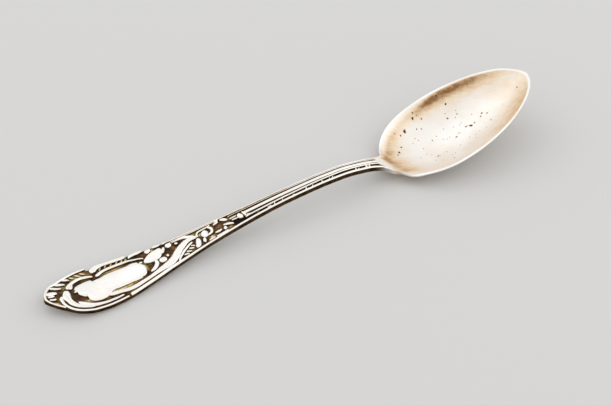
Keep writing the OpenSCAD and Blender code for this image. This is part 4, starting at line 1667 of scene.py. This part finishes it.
@dataclass(frozen=True)
class TipOrnament:
    """The broad end: a shell at the tip, a long smooth cartouche, and scrolls around it.

    Each path holds rows of (distance, side, half width), as shares of the handle's length, of
    its half width there and of the broad end's width.
    """

    cartouche_h: float = 0.00078
    cartouche_fringe: float = 0.0004
    near_scroll_h: float = 0.0008
    near_rim_scroll_h: float = 0.00055
    near_inner_scroll_h: float = 0.0006
    fine_h: float = 0.0005
    ridge_shine: float = 0.68
    fan_shine: float = 0.42
    rib_shine: float = 0.36

    border: Table = (
        (0.036, -0.92, 0.02), (0.022, -0.88, 0.02), (0.01, -0.75, 0.02), (0.005, 0, 0.02),
        (0.01, 0.78, 0.02), (0.022, 0.9, 0.022), (0.036, 0.93, 0.022), (0.06, 0.955, 0.022),
        (0.1, 0.985, 0.02), (0.13, 0.99, 0.018), (0.146, 0.985, 0.013),
    )
    ridges: tuple[Table, ...] = (
        ((0.012, -0.2, 0.018), (0.022, -0.2, 0.024), (0.03, -0.16, 0.014)),
        ((0.013, 0.22, 0.018), (0.022, 0.16, 0.022), (0.031, 0.12, 0.014)),
        ((0.013, 0.6, 0.034), (0.026, 0.46, 0.046), (0.042, 0.3, 0.026)),
        ((0.032, 0.82, 0.026), (0.046, 0.66, 0.028), (0.06, 0.53, 0.016)),
        ((0.05, 0.9, 0.028), (0.063, 0.78, 0.03), (0.075, 0.65, 0.016)),
        ((0.074, 0.94, 0.024), (0.084, 0.86, 0.026), (0.092, 0.76, 0.014)),
    )
    fan: tuple[Table, ...] = (
        ((0.095, 0.9, 0.014), (0.101, 0.83, 0.022), (0.105, 0.74, 0.012)),
        ((0.11, 0.9, 0.014), (0.116, 0.83, 0.022), (0.12, 0.74, 0.012)),
        ((0.125, 0.9, 0.014), (0.131, 0.82, 0.022), (0.135, 0.74, 0.012)),
    )
    cartouche: Table = (
        (0.087, -0.04, 0.04), (0.092, -0.02, 0.095), (0.1, 0.02, 0.172), (0.11, 0, 0.213),
        (0.121, -0.04, 0.24), (0.132, -0.075, 0.244), (0.143, -0.075, 0.222), (0.153, -0.02, 0.193),
        (0.166, 0.015, 0.181), (0.18, 0.035, 0.192), (0.2, 0.035, 0.193), (0.22, 0.02, 0.188),
        (0.235, 0, 0.19), (0.248, 0.01, 0.19), (0.258, -0.02, 0.162), (0.266, -0.03, 0.112),
        (0.272, -0.03, 0.045),
    )
    near_scroll: Table = (
        (0.067, 0.32, 0.028), (0.062, 0.18, 0.055), (0.056, -0.06, 0.064), (0.056, -0.3, 0.05),
        (0.058, -0.5, 0.05), (0.066, -0.66, 0.04), (0.082, -0.76, 0.03), (0.1, -0.83, 0.018),
    )
    near_rim_scroll: Table = (
        (0.047, 0.05, 0.02), (0.041, -0.15, 0.03), (0.039, -0.4, 0.028), (0.039, -0.62, 0.026),
        (0.044, -0.82, 0.026), (0.056, -0.92, 0.026), (0.08, -0.95, 0.024),
        (0.11, -0.96, 0.019), (0.15, -0.96, 0.019), (0.188, -0.96, 0.016),
    )
    near_inner_scroll: Table = (
        (0.071, -0.44, 0.015), (0.08, -0.53, 0.04), (0.092, -0.65, 0.044), (0.105, -0.73, 0.036),
        (0.125, -0.775, 0.026), (0.15, -0.795, 0.022), (0.18, -0.8, 0.014),
    )
    far_scroll: tuple[Table, ...] = (
        (
            (0.152, 0.72, 0.03), (0.157, 0.8, 0.05), (0.168, 0.9, 0.045), (0.185, 0.95, 0.036),
            (0.2, 0.955, 0.034), (0.22, 0.95, 0.033), (0.24, 0.945, 0.03), (0.248, 0.94, 0.018),
        ),
        (
            (0.252, 0.8, 0.014), (0.259, 0.88, 0.026), (0.27, 0.92, 0.028), (0.28, 0.93, 0.026),
            (0.292, 0.95, 0.014),
        ),
    )
    scroll_ribs: tuple[Table, ...] = (
        ((0.172, 0.7, 0.012), (0.177, 0.79, 0.018), (0.181, 0.87, 0.012)),
        ((0.187, 0.74, 0.012), (0.191, 0.81, 0.016), (0.195, 0.88, 0.012)),
        ((0.202, 0.75, 0.012), (0.206, 0.81, 0.016), (0.21, 0.88, 0.012)),
        ((0.217, 0.75, 0.012), (0.221, 0.81, 0.016), (0.225, 0.88, 0.012)),
        ((0.23, 0.74, 0.014), (0.234, 0.81, 0.02), (0.237, 0.88, 0.014)),
        ((0.241, 0.73, 0.014), (0.244, 0.8, 0.02), (0.246, 0.87, 0.012)),
    )
    far_inner_scroll: Table = (
        (0.154, 0.5, 0.02), (0.163, 0.56, 0.028), (0.175, 0.63, 0.026), (0.19, 0.67, 0.026),
        (0.205, 0.685, 0.025), (0.22, 0.685, 0.025), (0.235, 0.68, 0.022), (0.247, 0.66, 0.018),
        (0.258, 0.61, 0.014), (0.27, 0.56, 0.012), (0.281, 0.46, 0.01),
    )
    c_scroll: Table = (
        (0.07, 0.41, 0.025), (0.08, 0.52, 0.035), (0.095, 0.62, 0.03), (0.115, 0.65, 0.028),
        (0.133, 0.61, 0.026), (0.148, 0.52, 0.015),
    )
    c_curls: tuple[Table, ...] = (
        ((0.075, 0.35, 0.016), (0.082, 0.39, 0.022), (0.089, 0.49, 0.012)),
        ((0.08, 0.09, 0.012), (0.086, 0.14, 0.02), (0.091, 0.22, 0.012)),
    )

    def shells(self) -> dict[str, list[Shell]]:
        """Skins of each piece.

        Returns:
            The skins for each node.
        """
        cartouche = Relief(
            self.cartouche, Form.CUSHION, self.cartouche_h, along=130, fringe=self.cartouche_fringe
        )
        near = Relief(self.near_scroll, Form.TWIN, self.near_scroll_h, along=90)
        near_rim = Relief(self.near_rim_scroll, Form.ROUND, self.near_rim_scroll_h, along=110)
        near_inner = Relief(
            self.near_inner_scroll, Form.ROUND, self.near_inner_scroll_h, along=80
        )
        return {
            "terminal_shell": [
                Relief(self.border, Form.ROUND, along=120).shell(),
                *several(self.ridges, Form.ROUND, shine=self.ridge_shine),
                *several(self.fan, Form.ROUND, self.fine_h, shine=self.fan_shine),
            ],
            "cartouche": [cartouche.shell()],
            "near_scroll": [near.shell()],
            "near_rim_scroll": [near_rim.shell()],
            "near_inner_scroll": [near_inner.shell()],
            "far_scroll": [
                *several(self.far_scroll, Form.CHANNEL, along=80),
                *several(self.scroll_ribs, Form.ROUND, self.fine_h, shine=self.rib_shine),
            ],
            "far_inner_scroll": [Relief(self.far_inner_scroll, Form.ROUND, along=90).shell()],
            "c_scroll": [
                Relief(self.c_scroll, Form.ROUND, along=80).shell(),
                *several(self.c_curls, Form.ROUND),
            ],
        }


@dataclass(frozen=True)
class LeafOrnament:
    """The sweep of leaves and flowers between the cartouche and the reeds.

    Each path holds rows of (distance, side, half width), as shares of the handle's length, of
    its half width there and of the broad end's width.
    """

    leaf_h: float = 0.00075
    rib_h: float = 0.00056
    petal_h: float = 0.00078
    flower_h: float = 0.0008
    dull_shine: float = 0.7
    long_leaf: Table = (
        (0.148, -0.56, 0.02), (0.16, -0.555, 0.036), (0.18, -0.615, 0.032), (0.2, -0.68, 0.036),
        (0.22, -0.71, 0.036), (0.24, -0.705, 0.033), (0.26, -0.695, 0.031), (0.28, -0.66, 0.036),
        (0.3, -0.62, 0.048), (0.315, -0.6, 0.06), (0.33, -0.54, 0.066), (0.345, -0.4, 0.066),
        (0.36, -0.15, 0.062), (0.372, 0.04, 0.058), (0.384, 0.18, 0.052), (0.394, 0.28, 0.045),
        (0.405, 0.3, 0.036), (0.415, 0.26, 0.03), (0.424, 0.2, 0.018),
    )
    ribs: tuple[Table, ...] = (
        (
            (0.346, -0.85, 0.012), (0.35, -0.75, 0.018), (0.357, -0.6, 0.02), (0.365, -0.48, 0.02),
            (0.373, -0.35, 0.022), (0.383, -0.24, 0.02), (0.393, -0.12, 0.02),
            (0.401, -0.05, 0.018), (0.406, -0.05, 0.012),
        ),
        (
            (0.364, 0.73, 0.01), (0.375, 0.74, 0.014), (0.388, 0.745, 0.02), (0.398, 0.72, 0.028),
            (0.406, 0.6, 0.034), (0.413, 0.47, 0.032), (0.42, 0.35, 0.02),
        ),
    )
    flutes: tuple[Table, ...] = (
        ((0.366, -0.62, 0.014), (0.373, -0.69, 0.018), (0.38, -0.76, 0.012)),
        ((0.376, -0.5, 0.014), (0.383, -0.6, 0.018), (0.389, -0.7, 0.012)),
        ((0.387, -0.38, 0.014), (0.393, -0.48, 0.02), (0.399, -0.58, 0.012)),
        ((0.395, -0.24, 0.012), (0.4, -0.34, 0.016), (0.404, -0.46, 0.01)),
    )
    large_petal: tuple[Table, ...] = (
        (
            (0.275, 0.18, 0.02), (0.282, 0.23, 0.055), (0.291, 0.28, 0.08), (0.3, 0.33, 0.094),
            (0.309, 0.38, 0.1), (0.318, 0.47, 0.085), (0.326, 0.57, 0.055), (0.333, 0.66, 0.028),
        ),
        ((0.327, 0.26, 0.018), (0.331, 0.36, 0.026), (0.336, 0.51, 0.026), (0.34, 0.64, 0.014)),
    )
    small_petals: tuple[Table, ...] = (
        (
            (0.3, 0.03, 0.016), (0.301, -0.08, 0.03), (0.298, -0.22, 0.034),
            (0.29, -0.34, 0.034), (0.281, -0.42, 0.028), (0.273, -0.46, 0.014),
        ),
        ((0.307, -0.12, 0.026), (0.314, -0.14, 0.052), (0.321, -0.13, 0.05), (0.327, -0.06, 0.024)),
        ((0.33, -0.02, 0.014), (0.334, -0.04, 0.026), (0.338, -0.03, 0.014)),
        ((0.344, 0.63, 0.024), (0.35, 0.64, 0.048), (0.356, 0.66, 0.044), (0.362, 0.71, 0.02)),
        ((0.367, 0.55, 0.012), (0.371, 0.5, 0.022), (0.375, 0.44, 0.012)),
        ((0.264, 0.3, 0.01), (0.268, 0.28, 0.018), (0.272, 0.25, 0.01)),
    )
    edge_beads: tuple[Table, ...] = (
        ((0.293, 0.82, 0.016), (0.299, 0.82, 0.042), (0.305, 0.84, 0.034), (0.311, 0.85, 0.014)),
        ((0.316, 0.92, 0.012), (0.323, 0.94, 0.022), (0.332, 0.93, 0.02), (0.338, 0.92, 0.01)),
        ((0.342, 0.9, 0.01), (0.347, 0.93, 0.018), (0.353, 0.94, 0.01)),
    )
    blossom: tuple[Table, ...] = (
        (
            (0.448, 0.42, 0.024), (0.446, 0.25, 0.056), (0.444, 0.05, 0.06),
            (0.445, -0.12, 0.045), (0.448, -0.25, 0.02),
        ),
        (
            (0.459, 0.52, 0.012), (0.464, 0.42, 0.022), (0.466, 0.25, 0.026), (0.464, 0.05, 0.026),
            (0.458, -0.12, 0.024), (0.448, -0.2, 0.018),
        ),
    )
    buds: tuple[Table, ...] = (
        (
            (0.422, 0.05, 0.024), (0.419, -0.2, 0.042), (0.415, -0.42, 0.044),
            (0.41, -0.62, 0.04), (0.409, -0.76, 0.022),
        ),
        (
            (0.436, -0.22, 0.014), (0.434, -0.36, 0.028), (0.432, -0.52, 0.028),
            (0.431, -0.68, 0.014),
        ),
        ((0.44, -0.72, 0.01), (0.449, -0.7, 0.018), (0.459, -0.72, 0.01)),
    )
    husk_leaves: tuple[Table, ...] = (
        (
            (0.425, 0.15, 0.014), (0.427, 0.4, 0.018), (0.434, 0.57, 0.016), (0.45, 0.6, 0.016),
            (0.463, 0.64, 0.014), (0.47, 0.72, 0.01),
        ),
        ((0.462, -0.74, 0.012), (0.48, -0.77, 0.02), (0.498, -0.74, 0.012)),
        ((0.483, 0.74, 0.014), (0.49, 0.84, 0.028), (0.497, 0.92, 0.012)),
        ((0.498, 0.74, 0.014), (0.505, 0.66, 0.03), (0.511, 0.5, 0.03), (0.514, 0.32, 0.014)),
        (
            (0.496, 0.02, 0.012), (0.503, -0.04, 0.022), (0.512, -0.14, 0.026),
            (0.518, -0.3, 0.02), (0.521, -0.42, 0.01),
        ),
        ((0.497, -0.18, 0.014), (0.496, -0.36, 0.03), (0.493, -0.56, 0.016)),
    )
    husk_sprigs: tuple[Table, ...] = (
        ((0.476, 0.5, 0.012), (0.485, 0.58, 0.022), (0.493, 0.6, 0.012)),
        ((0.466, -0.34, 0.012), (0.476, -0.35, 0.026), (0.487, -0.34, 0.012)),
        ((0.52, 0.3, 0.012), (0.53, 0.3, 0.016), (0.54, 0.32, 0.01)),
        ((0.522, 0.06, 0.01), (0.532, 0.02, 0.018), (0.54, 0, 0.01)),
    )
    husk_bead: tuple[Table, ...] = (
        ((0.548, 0.42, 0.02), (0.547, 0.22, 0.042), (0.548, -0.04, 0.044), (0.55, -0.3, 0.022)),
        ((0.557, 0.42, 0.012), (0.559, 0.2, 0.02), (0.56, -0.05, 0.02), (0.558, -0.28, 0.012)),
    )

    def shells(self) -> dict[str, list[Shell]]:
        """Skins of each piece.

        Returns:
            The skins for each node.
        """
        return {
            "long_leaf": [Relief(self.long_leaf, Form.LEAF, self.leaf_h, along=150).shell()],
            "leaf_rib": several(self.ribs, Form.ROUND, self.rib_h, along=50),
            "leaf_flutes": several(self.flutes, Form.ROUND, self.rib_h, shine=self.dull_shine),
            "large_petal": several(self.large_petal, Form.PETAL, self.petal_h, along=50),
            "small_petals": several(self.small_petals, Form.PETAL),
            "edge_beads": several(self.edge_beads, Form.ROUND),
            "blossom": several(self.blossom, Form.ROUND, self.flower_h),
            "buds": several(self.buds, Form.ROUND),
            "husk_leaves": [
                *several(self.husk_leaves, Form.ROUND, self.rib_h),
                *several(self.husk_sprigs, Form.ROUND, self.rib_h, shine=self.dull_shine),
            ],
            "husk_bead": several(self.husk_bead, Form.ROUND, self.flower_h),
        }


# ---------------------------------------------------------------- studio


@dataclass(frozen=True)
class Lamp:
    """A square soft lamp that faces the spoon.

    Attributes:
        name: Name of the lamp.
        place: Where it hangs.
        side: Length of its side.
        power: Its power in watts.
    """

    name: str
    place: tuple[float, float, float]
    side: float
    power: float

    def hang(self) -> None:
        """Hang the lamp, turned to the spoon."""
        light = bpy.data.lights.new(self.name, "AREA")
        light.shape = "SQUARE"
        light.size = self.side
        light.energy = self.power
        lamp = put(self.name, light)
        lamp.location = self.place
        lamp.rotation_euler = Vector(self.place).to_track_quat("Z", "Y").to_euler()


@dataclass(frozen=True)
class Studio:
    """Plain pale floor, soft lamps, and the camera where the photograph was taken from.

    Attributes:
        azimuth: Turn of the camera about Z, from the near side of the spoon.
        elevation: Its height over the table, as an angle.
        distance: Its distance from the target.
        target: Point that it looks at.
        focal_px: Its focal length, in pixels of the picture.
        picture_px: Width of the picture in pixels.
        sensor: Width of its sensor in millimetres.
        near: Nearest distance that it sees.
        floor_side: Length of the floor's side.
        floor_colour: Colour of the floor.
        floor_rough: Roughness of the floor.
        lamps: The lamps.
        sky: Rows of (height, grey), from 0 at the horizon to 1 overhead.
    """

    azimuth: float = math.radians(-34.213)
    elevation: float = math.radians(37.0)
    distance: float = 0.62
    target: tuple[float, float, float] = (0.002196, 0.001937, 0.0)
    focal_px: float = 1691.26
    picture_px: float = 612.0
    sensor: float = 36.0
    near: float = 0.01
    floor_side: float = 6.0
    floor_colour: Colour = (0.64, 0.635, 0.625)
    floor_rough: float = 0.9
    lamps: tuple[Lamp, ...] = (
        Lamp("key_lamp", (-0.12, 0.62, 0.75), 0.55, 0.46),
        Lamp("fill_lamp", (0.7, -0.35, 0.6), 0.6, 0.7),
    )
    sky: Table = ((0, 0.93), (0.3, 0.94), (0.6, 0.98), (0.8, 1.02), (1, 0.96))

    def camera(self) -> None:
        """Set up the camera on its orbit round the target."""
        lens = bpy.data.cameras.new("camera")
        lens.sensor_width = self.sensor
        lens.lens = self.focal_px * self.sensor / self.picture_px
        lens.clip_start = self.near
        eye = put("camera", lens)
        back = Vector((
            math.sin(self.azimuth) * math.cos(self.elevation),
            -math.cos(self.azimuth) * math.cos(self.elevation),
            math.sin(self.elevation),
        ))
        eye.location = Vector(self.target) + back * self.distance
        eye.rotation_euler = back.to_track_quat("Z", "Y").to_euler()
        bpy.context.scene.camera = eye

    def floor(self) -> None:
        """Lay the floor, a plain pale sheet."""
        half = self.floor_side / 2
        corners = [(-half, -half, 0), (half, -half, 0), (half, half, 0), (-half, half, 0)]
        mesh = bpy.data.meshes.new("floor")
        mesh.from_pydata(corners, [], [(0, 1, 2, 3)])
        shader = Shader("floor")
        shader.fill(shader.surface.inputs["Roughness"], self.floor_rough)
        shader.fill(shader.surface.inputs["Base Color"], self.floor_colour)
        mesh.materials.append(shader.material)
        put("floor", mesh)

    def world(self) -> None:
        """Surround the scene with even white light, strongest high up but not overhead."""
        world = bpy.data.worlds.new("world")
        bpy.context.scene.world = world
        world.use_nodes = True
        tree = world.node_tree
        place = tree.nodes.new("ShaderNodeTexCoord")
        split = tree.nodes.new("ShaderNodeSeparateXYZ")
        ramp = tree.nodes.new("ShaderNodeValToRGB")
        background = tree.nodes["Background"]
        set_stops(ramp.color_ramp, self.sky)
        tree.links.new(place.outputs["Generated"], split.inputs[0])
        tree.links.new(split.outputs["Z"], ramp.inputs[0])
        tree.links.new(ramp.outputs[0], background.inputs["Color"])
        background.inputs["Strength"].default_value = 1.0

    def build(self) -> None:
        """Set up the whole studio."""
        self.camera()
        self.floor()
        self.world()
        for lamp in self.lamps:
            lamp.hang()
        bpy.context.scene.view_settings.view_transform = "Standard"


# ---------------------------------------------------------------- assembly


def dress(
    name: str, shells: list[Shell], material: bpy.types.Material, slot: str, *nodes: str
) -> None:
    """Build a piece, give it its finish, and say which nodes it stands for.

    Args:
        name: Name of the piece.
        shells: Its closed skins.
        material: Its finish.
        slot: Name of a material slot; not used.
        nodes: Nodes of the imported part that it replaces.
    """
    piece = build_piece(name, shells)
    piece.data.materials.append(material)
    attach(piece, "root")
    if nodes:
        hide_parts(*nodes)
    log.info("%s: %d faces", name, len(piece.data.polygons))


def main() -> None:
    """Load the frame, build and dress every piece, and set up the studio."""
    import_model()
    Studio().build()

    bowl = Bowl()
    dress("bowl_skin", [bowl.shell()], BowlSilver("bowl_silver").make(), "bowl_satin", "bowl")
    dress("bowl_pits", BowlPits().shells(bowl), PitCrust("pit_crust").make(), "bowl_satin")

    silver = WornSilver("worn_silver").make()
    bar = HandleBar().shells()
    dress("blade_ground", [bar["handle_blade"]], silver, "handle_silver", "handle_blade")
    dress("stem_bar", [bar["stem"]], silver, "stem_silver", "stem")
    dress("neck_bar", [bar["neck"]], silver, "stem_silver", "neck")

    for group, ending, slot in (
        (Reeding(), "_line", "thread_silver"),
        (TipOrnament(), "_relief", "ornament_silver"),
        (LeafOrnament(), "_relief", "ornament_silver"),
    ):
        for node, shells in group.shells().items():
            dress(node + ending, shells, silver, slot, node)


if __name__ == "__main__":
    main()
